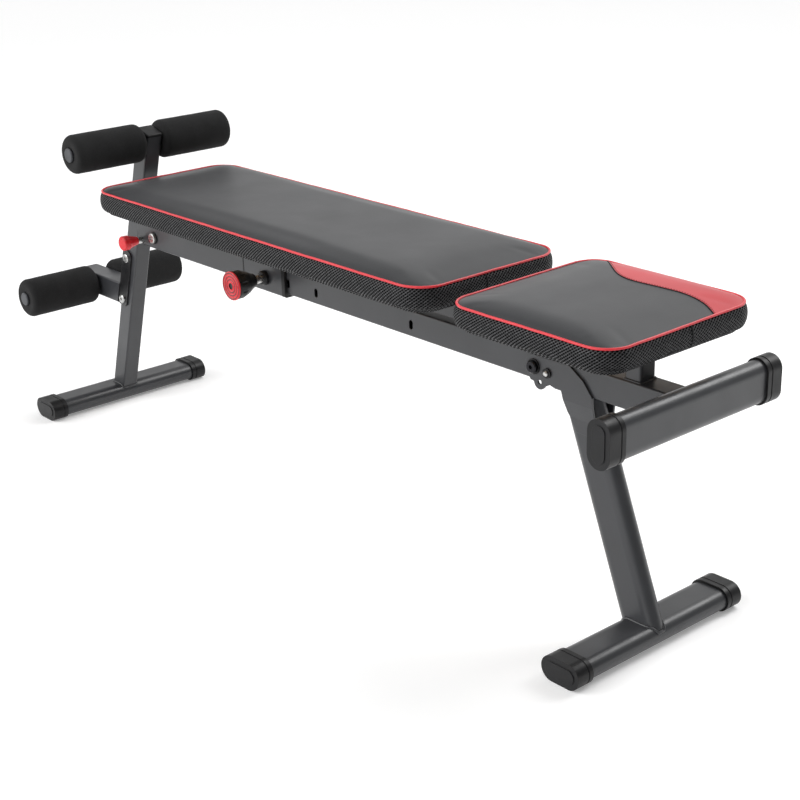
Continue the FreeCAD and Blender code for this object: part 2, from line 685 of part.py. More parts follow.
def lower_arm():
    arm = new_body("lower_arm_blank")
    # the blank runs into the post's place and is cut off along the channel bracket
    blank_long = 160
    square_tube(arm, "YZ_Plane", v.arm_side, v.arm_side, v.beam_wall, v.beam_corner, blank_long,
                out=v.arm_end_x)
    cross_hole(arm, v.lower_axle_x, 0, v.axle_radius + v.pin_fit)
    place(arm, z=v.arm_z)
    post_space = doc.addObject("Part::Box", "post_space")
    post_space.Length = THROUGH
    post_space.Width = THROUGH
    post_space.Height = 2 * THROUGH
    lean = math.radians(v.post_lean.value)
    web = -v.post_deep / 2 - 0.2 - v.channel_thick
    x, z = on_post(-1.5 * THROUGH)
    place(post_space, x=x + web * math.cos(lean), y=-THROUGH / 2, z=z - web * math.sin(lean),
          tilt=v.post_lean)
    arm_tube = boolean("Part::Cut", "lower_arm_tube", arm, post_space)
    sub_part(arm_tube, "lower_arm_tube")
    cap = new_body("lower_arm_cap")
    lid = sketch_on(cap, "YZ_Plane", out=-v.arm_cap)
    rounded(lid, v.arm_side, v.arm_side, 4)
    pad(cap, lid, v.arm_cap)

    def outer_end(edge):
        return abs(edge.BoundBox.XMax + v.arm_cap.value) < 1e-3
    round_edges(cap, 3.5, outer_end)
    plug = sketch_on(cap, "YZ_Plane")
    inside = v.arm_side - 2 * v.beam_wall - 0.2
    rounded(plug, inside, inside, 1)
    pad(cap, plug, 12)
    sub_part(cap, "lower_arm_cap", x=v.arm_end_x, z=v.arm_z)


def roller_set(name, x, z, inner, outer, foam_radius):
    """A roller axle and the two foam rollers that turn on it. Returns its two end plugs."""
    axle = new_body(name + "_axle")
    bore = v.axle_radius - v.axle_wall
    turned(axle, ring(-outer, outer, bore, v.axle_radius))
    sub_part(axle, name + "_axle", x=x, z=z)
    plugs = new_body(name + "_axle_plugs")
    face = outer + 0.3
    plug = [(outer - 14, 0), (outer - 14, bore - 0.1), (face, bore - 0.1), (face, v.plug_radius),
            (face + v.plug_flange - 1.5, v.plug_radius), (face + v.plug_flange, v.plug_radius - 1.5),
            (face + v.plug_flange, 0)]
    turned(plugs, plug, mirrored(plug))
    place(plugs, x=x, z=z)
    edge = v.foam_edge
    chamfer = 0.3
    for side_name, side in (("near", -1), ("far", 1)):
        foam = new_body(f"{name}_foam_{side_name}")
        profile = [(inner, v.axle_radius + 0.08), (outer, v.axle_radius + 0.08),
                   (outer, foam_radius - edge), (outer - edge * chamfer, foam_radius - edge * chamfer),
                   (outer - edge, foam_radius), (inner + edge, foam_radius),
                   (inner + edge * chamfer, foam_radius - edge * chamfer), (inner, foam_radius - edge)]
        turned(foam, profile if side > 0 else mirrored(profile))
        sub_part(foam, f"{name}_foam_{side_name}", x=x, z=z)
    return plugs


# ---- backrest hinge, rails, strut and sliding sleeve ----

def backrest_hinge():
    radius = 12
    base = v.beam_mid_z + v.beam_side / 2 - v.hinge_z
    lugs = []
    for side_name, side in (("near", -1), ("far", 1)):
        lug = new_body(f"backrest_lug_{side_name}")
        out = -side * v.lug_inner
        for profile in ("web", "boss"):
            sketch = sketch_on(lug, "XZ_Plane", out=out)
            if profile == "web":
                outline(sketch, [(-radius - 4, base), (radius + 4, base), (radius, 0), (-radius, 0)])
            else:
                circle(sketch, radius)
            pad(lug, sketch, v.lug_thick, reversed_way=side > 0)
        cross_hole(lug, 0, 0, v.pivot_hole)
        place(lug, x=v.hinge_x, z=v.hinge_z)
        lugs.append(lug)
    gathered("backrest_lugs", lugs)


def backrest_rails():
    """Two steel angles under the board, which the backrest hangs and is pushed up by."""
    height = v.board_z - v.rail_low
    end = v.hinge_x + 14
    rails = []
    for side_name, side in (("near", -1), ("far", 1)):
        rail = new_body(f"backrest_rail_{side_name}")
        section = sketch_on(rail, "YZ_Plane", out=v.rail_start_x)
        inner, outer = v.rail_inner, v.rail_inner + v.rail_thick
        flange = v.rail_inner + v.rail_flange
        outline(section, [(side * along, up) for along, up in (
            (inner, 0), (outer, 0), (outer, height - v.rail_thick), (flange, height - v.rail_thick),
            (flange, height), (inner, height))])
        pad(rail, section, end - v.rail_start_x)
        for hole_x in (v.hinge_x, v.hinge_x - v.link_length):
            cross_hole(rail, hole_x, v.hinge_z - v.rail_low, v.pivot_clear)
        place(rail, z=v.rail_low)
        rails.append(rail)
    gathered("backrest_rails", rails)
    outer = v.rail_inner + v.rail_thick
    rod = new_body("strut_rod")
    head = 3
    turned(rod, [(-outer - head, 0), (-outer - head, 8), (-outer - 0.1, 8), (-outer - 0.1, v.pivot_bolt),
                 (outer + 0.1, v.pivot_bolt), (outer + 0.1, 8), (outer + head, 8), (outer + head, 0)])
    sub_part(rod, "strut_rod", x=v.hinge_x - v.link_length, z=v.hinge_z)
    backrest_screws()


def backrest_screws():
    """Six screws that hold the rails' flanges to the board, with their heads underneath."""
    screws = new_body("backrest_screws")
    head_tall, shank_radius, shank_long = 2.5, 2.5, 9
    across = v.rail_inner + v.rail_thick + (v.rail_flange - v.rail_thick) / 2
    spread = v.hinge_x - v.rail_start_x - 40
    for step in range(3):
        for side in (-1, 1):
            where = {"right": v.rail_start_x + 30 + spread * (step / 2), "up": side * across}
            head = (v.screw_head, -head_tall, head_tall)
            shank = (shank_radius, 0, shank_long)
            for radius, out, length in (head, shank):
                sketch = sketch_on(screws, "XY_Plane", out=out, **where)
                circle(sketch, radius)
                pad(screws, sketch, length)
    sub_part(screws, "backrest_screws", z=v.board_z - v.rail_thick)


def strut():
    foot_x = v.hinge_x - 2 * v.link_length
    tube = new_body("strut_tube")
    square_tube(tube, "YZ_Plane", v.strut_wide, v.strut_deep, v.strut_wall, 2.5,
                v.link_length - 2 * v.strut_eye - 0.4, out=v.strut_eye + 0.2)
    sub_part(tube, "strut_tube", x=foot_x, z=v.hinge_z)
    half = v.strut_wide / 2
    eyes = []
    for end, x in (("foot", foot_x), ("top", foot_x + v.link_length)):
        eye = new_body(f"strut_{end}_eye")
        turned(eye, ring(-half, half, v.pivot_clear, v.strut_eye))
        place(eye, x=x, z=v.hinge_z)
        eyes.append(eye)
    gathered("strut_eyes", eyes)


def sleeve():
    middle_z = v.beam_mid_z
    tube = new_body("sleeve_tube")
    square_tube(tube, "YZ_Plane", v.sleeve_side, v.sleeve_side, v.sleeve_wall, 4, 2 * v.sleeve_half,
                out=-v.sleeve_half)
    hole_x = v.hole_flat_x - v.sleeve_mid_x
    cross_hole(tube, hole_x, v.pin_z - middle_z, v.pin_radius + v.pin_fit, both_walls=False)
    sub_part(tube, "sleeve_tube", x=v.sleeve_mid_x, z=middle_z)
    opening = v.beam_side + 2 * v.liner_gap
    liners = (("sleeve_liner_front", -1, 3), ("sleeve_collar", 1, v.collar_thick))
    for label, direction, flange in liners:
        liner = new_body(label)
        face = direction * v.sleeve_half
        away = direction < 0
        rim = sketch_on(liner, "YZ_Plane", out=face)
        rounded(rim, v.sleeve_side + 0.6, v.sleeve_side + 0.6, 4)
        pad(liner, rim, flange, reversed_way=away)
        neck = sketch_on(liner, "YZ_Plane", out=face)
        neck_side = v.sleeve_side - 2 * v.sleeve_wall - 0.1
        rounded(neck, neck_side, neck_side, 1.2)
        pad(liner, neck, v.liner_inside, reversed_way=not away)
        passage = sketch_on(liner, "YZ_Plane")
        rounded(passage, opening, opening, 3)
        pocket(liner, passage, THROUGH, both_ways=True)
        sub_part(liner, label, x=v.sleeve_mid_x, z=middle_z)
    base = middle_z + v.sleeve_side / 2 - v.hinge_z
    lug_inside = v.strut_wide / 2 + 1.5
    boss_radius = 8
    foot_half = 13
    lugs = []
    for side_name, side in (("near", -1), ("far", 1)):
        lug = new_body(f"sleeve_lug_{side_name}")
        web = sketch_on(lug, "XZ_Plane", out=-side * lug_inside)
        outline(web, [(-foot_half, base), (foot_half, base), (boss_radius, 0), (-boss_radius, 0)])
        pad(lug, web, v.lug_thick, reversed_way=side > 0)
        boss = sketch_on(lug, "XZ_Plane", out=-side * lug_inside)
        circle(boss, boss_radius)
        pad(lug, boss, v.lug_thick, reversed_way=side > 0)
        cross_hole(lug, 0, 0, v.small_hole)
        place(lug, x=v.hole_flat_x, z=v.hinge_z)
        lugs.append(lug)
    gathered("sleeve_lugs", lugs)
    studs = new_body("sleeve_lug_studs")
    tip = lug_inside + 0.1
    outer = lug_inside + v.lug_thick
    head_radius = 7
    head_end = outer + 3.5
    stud = [(tip, 0), (tip, v.small_bolt), (outer, v.small_bolt), (outer, head_radius),
            (head_end, head_radius), (head_end, 0)]
    turned(studs, stud, mirrored(stud))
    sub_part(studs, "sleeve_lug_studs", x=v.hole_flat_x, z=v.hinge_z)


def adjuster():
    """The big pull pin on the sleeve, in the order in which it stands out from the sleeve."""
    place_pin = {"x": v.hole_flat_x, "z": v.pin_z}
    side = v.sleeve_side / 2
    pin_bore = v.pin_radius + v.pin_fit
    boss = new_body("adjuster_boss")
    turned(boss, [(-side - 8, 7.05), (-side, 7.05), (-side, 12), (-side - 5, 12), (-side - 8, 10)])
    sub_part(boss, "adjuster_boss", **place_pin)
    barrel = new_body("adjuster_barrel")
    turned(barrel, [(-side - 21.6, pin_bore), (-side - 19, pin_bore), (-side - 19, 5.4), (-side, 5.4),
                    (-side, 7), (-side - 18, 7), (-side - 19.5, 8), (-side - 21.6, 8)])
    sub_part(barrel, "adjuster_barrel", **place_pin)
    # the spring is a row of plain rings, which fill the same room as its coils
    spring = new_body("adjuster_spring_rings")
    rings, pitch, wire, spring_inner = 7, 2.75, 0.9, 4.3
    starts = [-side - 18 + pitch * number for number in range(rings)]
    turned(spring, *[ring(start, start + wire, spring_inner, spring_inner + wire) for start in starts])
    sub_part(spring, "adjuster_spring", **place_pin)
    knob_near, knob_far = -89.5, -47
    knob = new_body("adjuster_knob")
    turned(knob, [(knob_near, 0), (knob_near, 21.5), (knob_near + 3, 23), (knob_near + 14, 22.5),
                  (knob_near + 26, 18.5), (knob_far - 6, 12.5), (knob_far - 1, 11), (knob_far, 9.5),
                  (knob_far, pin_bore), (knob_near + 20, pin_bore), (knob_near + 20, 0)])
    flutes = 10
    flute_radius = 3.2
    before = knob.Shape.Volume
    flute = sketch_on(knob, "XZ_Plane", up=24.3, out=-knob_near - 6)
    circle(flute, flute_radius)
    groove = pocket(knob, flute, 40)
    ring_of_flutes = knob.newObject("PartDesign::PolarPattern", "adjuster_knob_flutes")
    ring_of_flutes.Originals = [groove]
    y_axis = next(item for item in knob.Origin.OriginFeatures if item.Role == "Y_Axis")
    ring_of_flutes.Axis = (y_axis, [""])
    ring_of_flutes.Angle = 360
    ring_of_flutes.Occurrences = flutes
    knob.Tip = ring_of_flutes
    doc.recompute()
    if knob.Shape.Volume > before:
        raise RuntimeError("the knob has no flutes")
    sub_part(knob, "adjuster_knob", **place_pin)
    disc = new_body("adjuster_disc")
    face = knob_near - 3
    valley = face + 0.8
    centre = face + 1.4
    turned(disc, [(face, 5), (valley, 8), (face, 10.5), (valley, 13), (face, 15.5), (valley, 18.5),
                  (face, 21), (face + 1, 23.2), (knob_near, 23.6), (knob_near, 0), (centre, 0),
                  (centre, 5)])
    sub_part(disc, "adjuster_disc", **place_pin)
    pin = new_body("adjuster_pin")
    tip = -v.beam_side / 2 - v.lock_gap
    turned(pin, [(knob_near + 20, 0), (knob_near + 20, v.pin_radius), (tip - 1, v.pin_radius),
                 (tip, v.pin_radius - 1), (tip, 0)])
    sub_part(pin, "adjuster_pin", **place_pin)


def front_lock():
    """The small pull pin that holds the front post, on the beam's near side."""
    where = {"x": v.front_lock_x, "z": v.front_lock_z}
    side = v.beam_side / 2
    bore = v.pin_radius + v.pin_fit
    barrel = new_body("front_lock_barrel")
    turned(barrel, ring(-side - 9, -side, bore, 7))
    sub_part(barrel, "front_lock_barrel", **where)
    knob = new_body("front_lock_knob")
    near, far = -60, -side - 9.3
    turned(knob, [(near, 0), (near, 11.5), (near + 1.5, 13), (near + 11, 13), (near + 14, 11.5),
                  (far, 7), (far, bore), (near + 12, bore), (near + 12, 0)])
    sub_part(knob, "front_lock_knob", **where)
    pin = new_body("front_lock_pin")
    tip = -v.cheek_outer - v.lock_gap
    turned(pin, [(near + 12, 0), (near + 12, v.pin_radius), (tip - 1, v.pin_radius),
                 (tip, v.pin_radius - 1), (tip, 0)])
    sub_part(pin, "front_lock_pin", **where)


def rear_lock():
    """The pin on the rear leg's near plate: a black bush with a bright pin end in it."""
    where = {"x": v.rear_lock_x, "z": v.rear_lock_z}
    outside = v.plate_inner + v.plate_thick
    bush = new_body("rear_lock_bush")
    turned(bush, ring(-outside - 2.5, -outside, v.pin_radius + v.pin_fit, 7))
    sub_part(bush, "rear_lock_bush", **where)
    pin = new_body("rear_lock_pin")
    proud = 6
    turned(pin, [(-outside - proud, 0), (-outside - proud, 2.5), (-outside - proud + 1.5, v.pin_radius),
                 (-v.plate_inner, v.pin_radius), (-v.plate_inner, 0)])
    sub_part(pin, "rear_lock_pin", **where)


def build():
    main_beam()
    cross_bar()
    pads()
    pivot_fasteners()
    rear_leg()
    gathered("rear_brackets", [bracket_plate("near", -1), bracket_plate("far", 1)])
    front_post()
    hinge_cheeks()
    arm_channel()
    lower_arm()
    upper_x, upper_z = on_post(v.upper_axle_up)
    upper_plugs = roller_set("upper", upper_x, upper_z, v.upper_inner, v.upper_outer, v.upper_foam)
    lower_plugs = roller_set("lower", v.lower_axle_x, v.arm_z, v.lower_inner, v.lower_outer,
                             v.lower_foam)
    gathered("axle_plugs", [upper_plugs, lower_plugs])
    backrest_hinge()
    backrest_rails()
    strut()
    sleeve()
    adjuster()
    front_lock()
    rear_lock()


def check_and_write():
    doc.recompute()
    failed = [item.Name for item in doc.Objects if {"Invalid", "Error"} & set(item.State)]
    if failed:
        raise RuntimeError(f"objects failed: {failed}")
    for piece in SUB_PARTS:
        if piece.Shape.isNull() or not piece.Shape.isValid():
            raise RuntimeError(f"{piece.Label} has no valid shape")
        piece.Shape.exportStep(f"parts/{piece.Label}.step")


build()
check_and_write()
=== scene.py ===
"""Looks for the decline sit up bench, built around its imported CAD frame.

Lengths are in metres. +Z is up, and the bench lies along X with its seat toward +X.
"""

import json
import math

import bmesh
import bpy
import numpy as np
from mathutils import Matrix, Vector
from mathutils.bvhtree import BVHTree


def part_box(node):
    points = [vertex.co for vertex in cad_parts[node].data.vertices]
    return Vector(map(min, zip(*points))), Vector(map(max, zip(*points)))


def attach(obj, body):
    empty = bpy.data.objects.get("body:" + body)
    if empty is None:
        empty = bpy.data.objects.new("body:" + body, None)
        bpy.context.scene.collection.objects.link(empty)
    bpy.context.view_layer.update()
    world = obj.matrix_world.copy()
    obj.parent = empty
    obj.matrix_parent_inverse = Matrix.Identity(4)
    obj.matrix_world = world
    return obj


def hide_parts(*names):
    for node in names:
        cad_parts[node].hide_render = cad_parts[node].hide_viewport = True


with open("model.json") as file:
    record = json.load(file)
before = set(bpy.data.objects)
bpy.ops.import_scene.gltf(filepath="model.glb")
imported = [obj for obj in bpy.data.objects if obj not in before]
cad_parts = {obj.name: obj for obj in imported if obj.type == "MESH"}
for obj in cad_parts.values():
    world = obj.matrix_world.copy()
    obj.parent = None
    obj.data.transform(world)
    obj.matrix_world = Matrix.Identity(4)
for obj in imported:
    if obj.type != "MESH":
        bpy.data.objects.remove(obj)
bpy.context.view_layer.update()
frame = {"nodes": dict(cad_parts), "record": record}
nodes = frame["nodes"]
MM = 0.001
# the attribute that holds a fabric band's length and height, for the pattern of its threads
BAND = "band"


# ---------------------------------------------------------------- materials

def set_range(node, low, high, out_low, out_high):
    """Fills in the four numbers of a Map Range node."""
    numbers = {"From Min": low, "From Max": high, "To Min": out_low, "To Max": out_high}
    for socket, number in numbers.items():
        node.inputs[socket].default_value = number


class Look:
    """A Principled material with short calls for the nodes that feed it."""

    EDGE_START, EDGE_FULL = 0.97, 0.80

    def __init__(self, name, colour, roughness, **sockets):
        self.material = bpy.data.materials.new(name)
        self.material.use_nodes = True
        self.tree = self.material.node_tree
        self.shader = self.tree.nodes["Principled BSDF"]
        self.shader.inputs["Base Color"].default_value = (*colour, 1)
        self.shader.inputs["Roughness"].default_value = roughness
        for socket, value in sockets.items():
            self.shader.inputs[socket.replace("_", " ")].default_value = value
        self.normal = None

    def link(self, output, target):
        self.tree.links.new(output, target)

    def node(self, kind, **settings):
        made = self.tree.nodes.new("ShaderNode" + kind)
        for key, value in settings.items():
            setattr(made, key, value)
        return made

    def coordinates(self, stretch=(1, 1, 1)):
        """The object's own coordinates in metres, stretched along each axis."""
        source = self.node("TexCoord").outputs["Object"]
        if tuple(stretch) == (1, 1, 1):
            return source
        mapping = self.node("Mapping")
        mapping.inputs["Scale"].default_value = stretch
        self.link(source, mapping.inputs["Vector"])
        return mapping.outputs["Vector"]

    def noise(self, scale, detail=2.0, stretch=(1, 1, 1), roughness=0.5, distortion=0.0):
        made = self.node("TexNoise")
        made.inputs["Scale"].default_value = scale
        made.inputs["Detail"].default_value = detail
        made.inputs["Roughness"].default_value = roughness
        made.inputs["Distortion"].default_value = distortion
        self.link(self.coordinates(stretch), made.inputs["Vector"])
        return made.outputs["Fac"]

    def cells(self, scale, feature="F1"):
        made = self.node("TexVoronoi", feature=feature)
        made.inputs["Scale"].default_value = scale
        self.link(self.coordinates(), made.inputs["Vector"])
        return made.outputs["Distance"]

    def span(self, value, low, high, out_low=0.0, out_high=1.0):
        """Maps value from low..high to out_low..out_high, clamped."""
        made = self.node("MapRange")
        set_range(made, low, high, out_low, out_high)
        self.link(value, made.inputs["Value"])
        return made.outputs["Result"]

    def uneven(self, scale, detail, low, high, out_low=0.0, out_high=1.0):
        """A smooth random value over the surface, mapped from low..high."""
        return self.span(self.noise(scale, detail=detail), low, high, out_low, out_high)

    def maths(self, operation, first, second=None):
        made = self.node("Math", operation=operation)
        for slot, value in enumerate((first, second)):
            if value is None:
                continue
            if isinstance(value, (int, float)):
                made.inputs[slot].default_value = value
            else:
                self.link(value, made.inputs[slot])
        return made.outputs["Value"]

    def mix(self, factor, first, second):
        """A colour between first and second, each a colour or an output."""
        made = self.node("Mix", data_type="RGBA")
        sockets = [s for s in made.inputs if s.type == "RGBA"]
        for socket, value in zip(sockets, (first, second)):
            if isinstance(value, tuple):
                socket.default_value = (*value, 1)
            else:
                self.link(value, socket)
        self.link(factor, made.inputs[0])
        return next(s for s in made.outputs if s.type == "RGBA")

    def split(self, vector):
        made = self.node("SeparateXYZ")
        self.link(vector, made.inputs["Vector"])
        return made.outputs

    def colour(self, output):
        self.link(output, self.shader.inputs["Base Color"])

    def rough(self, output):
        self.link(output, self.shader.inputs["Roughness"])

    def bump(self, height, strength, depth_mm):
        """Adds one layer of relief over the layers already there."""
        made = self.node("Bump")
        made.inputs["Strength"].default_value = strength
        made.inputs["Distance"].default_value = depth_mm * MM
        self.link(height, made.inputs["Height"])
        if self.normal is not None:
            self.link(self.normal, made.inputs["Normal"])
        self.normal = made.outputs["Normal"]
        self.link(self.normal, self.shader.inputs["Normal"])

    def soft_edges(self, radius_mm, samples=4):
        """Rounds the shading over hard edges and returns a mask that is 1 on the edges."""
        bevel = self.node("Bevel", samples=samples)
        bevel.inputs["Radius"].default_value = radius_mm * MM
        self.normal = bevel.outputs["Normal"]
        self.link(self.normal, self.shader.inputs["Normal"])
        geometry = self.node("NewGeometry")
        dot = self.node("VectorMath", operation="DOT_PRODUCT")
        self.link(bevel.outputs["Normal"], dot.inputs[0])
        self.link(geometry.outputs["Normal"], dot.inputs[1])
        return self.span(dot.outputs["Value"], self.EDGE_START, self.EDGE_FULL)


def paint_look(name, dark, light, gloss=0.34):
    """Semi-gloss powder coat: fine orange peel, slow tone changes and slightly worn edges."""
    look = Look(name, dark, gloss, Specular_IOR_Level=0.5, Coat_Weight=0.12, Coat_Roughness=0.22)
    edges = look.soft_edges(0.9)
    patches = look.noise(9, detail=4)
    flakes = look.noise(1400, detail=1)
    tone = look.mix(look.span(patches, 0.3, 0.7), dark, light)
    tone = look.mix(look.span(flakes, 0.62, 0.80, 0, 0.35), tone, tuple(c * 2.2 for c in light))
    scuffs = look.noise(60, detail=3, stretch=(1, 3, 1))
    worn = look.maths("MULTIPLY", edges, look.span(scuffs, 0.42, 0.62))
    look.colour(look.mix(look.maths("MULTIPLY", worn, 0.4), tone, (0.10, 0.10, 0.105)))
    look.rough(look.uneven(26, 5, 0.25, 0.75, gloss - 0.05, gloss + 0.10))
    look.bump(look.noise(420, detail=2), 0.16, 0.12)
    look.bump(look.noise(1500, detail=1), 0.10, 0.05)
    return look.material


def plastic_look(name, dark, light, gloss=0.38, grain=900):
    """Moulded plastic with a fine spark-eroded texture."""
    look = Look(name, dark, gloss, Specular_IOR_Level=0.28)
    edges = look.soft_edges(0.6)
    tone = look.mix(look.uneven(40, 3, 0.3, 0.7), dark, light)
    rubbed = tuple(min(c * 2.4, 1) for c in light)
    look.colour(look.mix(look.maths("MULTIPLY", edges, 0.35), tone, rubbed))
    look.rough(look.uneven(70, 4, 0.25, 0.75, gloss - 0.07, gloss + 0.09))
    look.bump(look.cells(grain, feature="SMOOTH_F1"), 0.22, 0.06)
    return look.material


def steel_look(name, tint, gloss=0.26):
    """Bright zinc plate: turning lines, faint spangle and a little tarnish."""
    look = Look(name, tint, gloss, Metallic=1.0)
    edges = look.soft_edges(0.35)
    spangle = look.cells(220)
    tone = look.mix(look.span(spangle, 0.1, 0.9), tint, tuple(c * 0.82 for c in tint))
    tarnish = look.uneven(120, 5, 0.55, 0.75, 0, 0.5)
    tone = look.mix(tarnish, tone, (0.30, 0.28, 0.24))
    look.colour(look.mix(look.maths("MULTIPLY", edges, 0.3), tone, (0.82, 0.82, 0.82)))
    look.rough(look.uneven(300, 3, 0.3, 0.7, gloss - 0.08, gloss + 0.12))
    look.bump(look.noise(900, detail=2, stretch=(1, 0.1, 1)), 0.10, 0.03)
    return look.material


def vinyl_look(name, dark, light, gloss=0.44):
    """Soft upholstery vinyl: small pebble grain, pores and faint handling marks."""
    look = Look(name, dark, gloss, Specular_IOR_Level=0.5, Sheen_Weight=0.06, Sheen_Roughness=0.5)
    look.colour(look.mix(look.uneven(14, 5, 0.3, 0.7), dark, light))
    marks = look.noise(18, detail=3)
    look.rough(look.span(marks, 0.25, 0.75, gloss - 0.02, gloss + 0.03))
    look.bump(look.noise(14, detail=1), 0.10, 1.2)
    look.bump(look.cells(620, feature="SMOOTH_F1"), 0.38, 0.16)
    look.bump(look.noise(2400, detail=1), 0.12, 0.05)
    return look.material


def mesh_look(name, hole, thread, glint, across=6.2, down=4.6):
    """Knitted spacer mesh: diagonal threads round diamond holes.

    The band's own length and height place the threads. across and down are one diamond's size in mm.
    """
    look = Look(name, hole, 0.74)
    band = look.split(look.node("Attribute", attribute_name=BAND).outputs["Vector"])
    along = look.maths("MULTIPLY", band["X"], 1000 / across)
    up = look.maths("MULTIPLY", band["Y"], 1000 / down)
    rising = look.maths("PINGPONG", look.maths("SUBTRACT", along, up), 0.5)
    falling = look.maths("PINGPONG", look.maths("ADD", along, up), 0.5)
    bright_thread = look.span(rising, 0.13, 0.24, 1, 0)
    dull_thread = look.span(falling, 0.09, 0.20, 1, 0)
    threads = look.maths("MAXIMUM", bright_thread, dull_thread)
    uneven = look.uneven(130, 3, 0.35, 0.65, 0.55, 1)
    tone = look.mix(look.maths("MULTIPLY", threads, uneven), hole, thread)
    glinting = look.maths("MULTIPLY", bright_thread, look.span(look.noise(420), 0.4, 0.7))
    look.colour(look.mix(glinting, tone, glint))
    look.link(look.span(threads, 0.2, 1, 0.02, 0.5), look.shader.inputs["Specular IOR Level"])
    look.rough(look.span(threads, 0, 1, 0.9, 0.55))
    look.bump(threads, 0.75, 0.7)
    look.bump(look.noise(1900, detail=2), 0.25, 0.10)
    return look.material


def foam_look(name, dark, light):
    """Closed-cell foam: matte, with fine open pores and a dusty tone."""
    look = Look(name, dark, 0.86, Specular_IOR_Level=0.14, Sheen_Weight=0.03, Sheen_Roughness=0.6)
    pores = look.cells(520)
    fine = look.noise(1100, detail=3)
    tone = look.mix(look.uneven(24, 4, 0.3, 0.7), dark, light)
    tone = look.mix(look.span(fine, 0.56, 0.74, 0, 0.6), tone, tuple(c * 2.6 for c in light))
    # painted shade: the pores are darkened toward near black, as shade inside the small holes
    look.colour(look.mix(look.span(pores, 0.0, 0.28, 0.7, 0), tone, (0.002, 0.002, 0.002)))
    look.rough(look.span(fine, 0.3, 0.7, 0.78, 0.95))
    look.bump(pores, 0.5, 0.35)
    look.bump(fine, 0.4, 0.16)
    return look.material


def wood_look(name, pale, deep):
    """Birch plywood: long grain on the faces and glued plies on the edges."""
    look = Look(name, pale, 0.62)
    grain = look.noise(60, detail=6, stretch=(0.12, 1, 1), distortion=0.8)
    rings = look.noise(14, detail=3, stretch=(0.3, 1, 1))
    tone = look.mix(look.span(grain, 0.35, 0.65), pale, deep)
    tone = look.mix(look.span(rings, 0.4, 0.7, 0, 0.5), tone, tuple(c * 0.7 for c in deep))
    plies = look.node("TexWave", bands_direction="Z")
    plies.inputs["Scale"].default_value = 95
    look.link(look.coordinates(), plies.inputs["Vector"])
    glue_lines = look.span(plies.outputs["Fac"], 0.6, 0.9, 0, 0.25)
    look.colour(look.mix(glue_lines, tone, tuple(c * 0.5 for c in deep)))
    look.rough(look.span(grain, 0.3, 0.7, 0.52, 0.74))
    look.bump(grain, 0.3, 0.2)
    return look.material


def rubber_look(name, dark, light):
    """Moulded rubber with a dry bloom."""
    look = Look(name, dark, 0.7)
    look.colour(look.mix(look.uneven(90, 5, 0.35, 0.7), dark, light))
    look.rough(look.uneven(150, 3, 0.3, 0.7, 0.6, 0.82))
    look.bump(look.cells(700, feature="SMOOTH_F1"), 0.3, 0.10)
    return look.material


def thread_look(name, dark, light):
    """Twisted sewing thread."""
    look = Look(name, dark, 0.6, Specular_IOR_Level=0.2)
    twist = look.noise(1600, detail=2, stretch=(1, 1, 0.4))
    look.colour(look.mix(look.span(twist, 0.35, 0.65), dark, light))
    look.rough(look.span(twist, 0.3, 0.7, 0.5, 0.72))
    look.bump(twist, 0.5, 0.2)
    return look.material


RED = (0.50, 0.012, 0.020)
ZINC = (0.62, 0.62, 0.61)
LOOKS = {
    "black_frame_paint": paint_look(
        "powder_coat_charcoal", (0.026, 0.027, 0.030), (0.034, 0.0355, 0.0395)),
    "black_plastic": plastic_look(
        "moulded_plastic_black", (0.006, 0.006, 0.0065), (0.010, 0.010, 0.011)),
    "grey_plug": plastic_look(
        "moulded_plastic_grey", (0.045, 0.047, 0.052), (0.065, 0.068, 0.075)),
    "red_plastic": plastic_look(
        "moulded_plastic_red", (0.52, 0.014, 0.022), (0.62, 0.022, 0.030), gloss=0.30),
    "zinc_steel": steel_look("zinc_plated_steel", ZINC),
    "black_vinyl": vinyl_look("vinyl_black", (0.020, 0.021, 0.023), (0.027, 0.028, 0.031)),
    "plywood": wood_look("birch_plywood", (0.50, 0.34, 0.19), (0.36, 0.22, 0.11)),
    "rest_rubber": rubber_look("rubber_black", (0.014, 0.014, 0.015), (0.026, 0.026, 0.028)),
    "black_foam": foam_look("foam_black", (0.011, 0.011, 0.0112), (0.017, 0.017, 0.0174)),
}
RED_VINYL = vinyl_look("vinyl_red", (0.46, 0.018, 0.026), (0.56, 0.026, 0.036), gloss=0.40)
RED_PIPING = vinyl_look("piping_red", (0.60, 0.020, 0.032), (0.70, 0.032, 0.046), gloss=0.34)
BLACK_MESH = mesh_look("spacer_mesh_black", (0.0012, 0.0012, 0.0015), (0.013, 0.0135, 0.015),
                       (0.075, 0.075, 0.079))
LINING = vinyl_look("cover_underside", (0.014, 0.014, 0.015), (0.022, 0.022, 0.024), gloss=0.6)
THREAD = thread_look("thread_black", (0.003, 0.003, 0.0035), (0.009, 0.009, 0.010))
CHANNEL_PAINT = paint_look("powder_coat_black", (0.006, 0.006, 0.007), (0.010, 0.010, 0.011), gloss=0.30)


# radii of the grooves in the adjuster's disc, painted near black as shade
DISC_GROOVES = (0.0105, 0.0155, 0.0208)


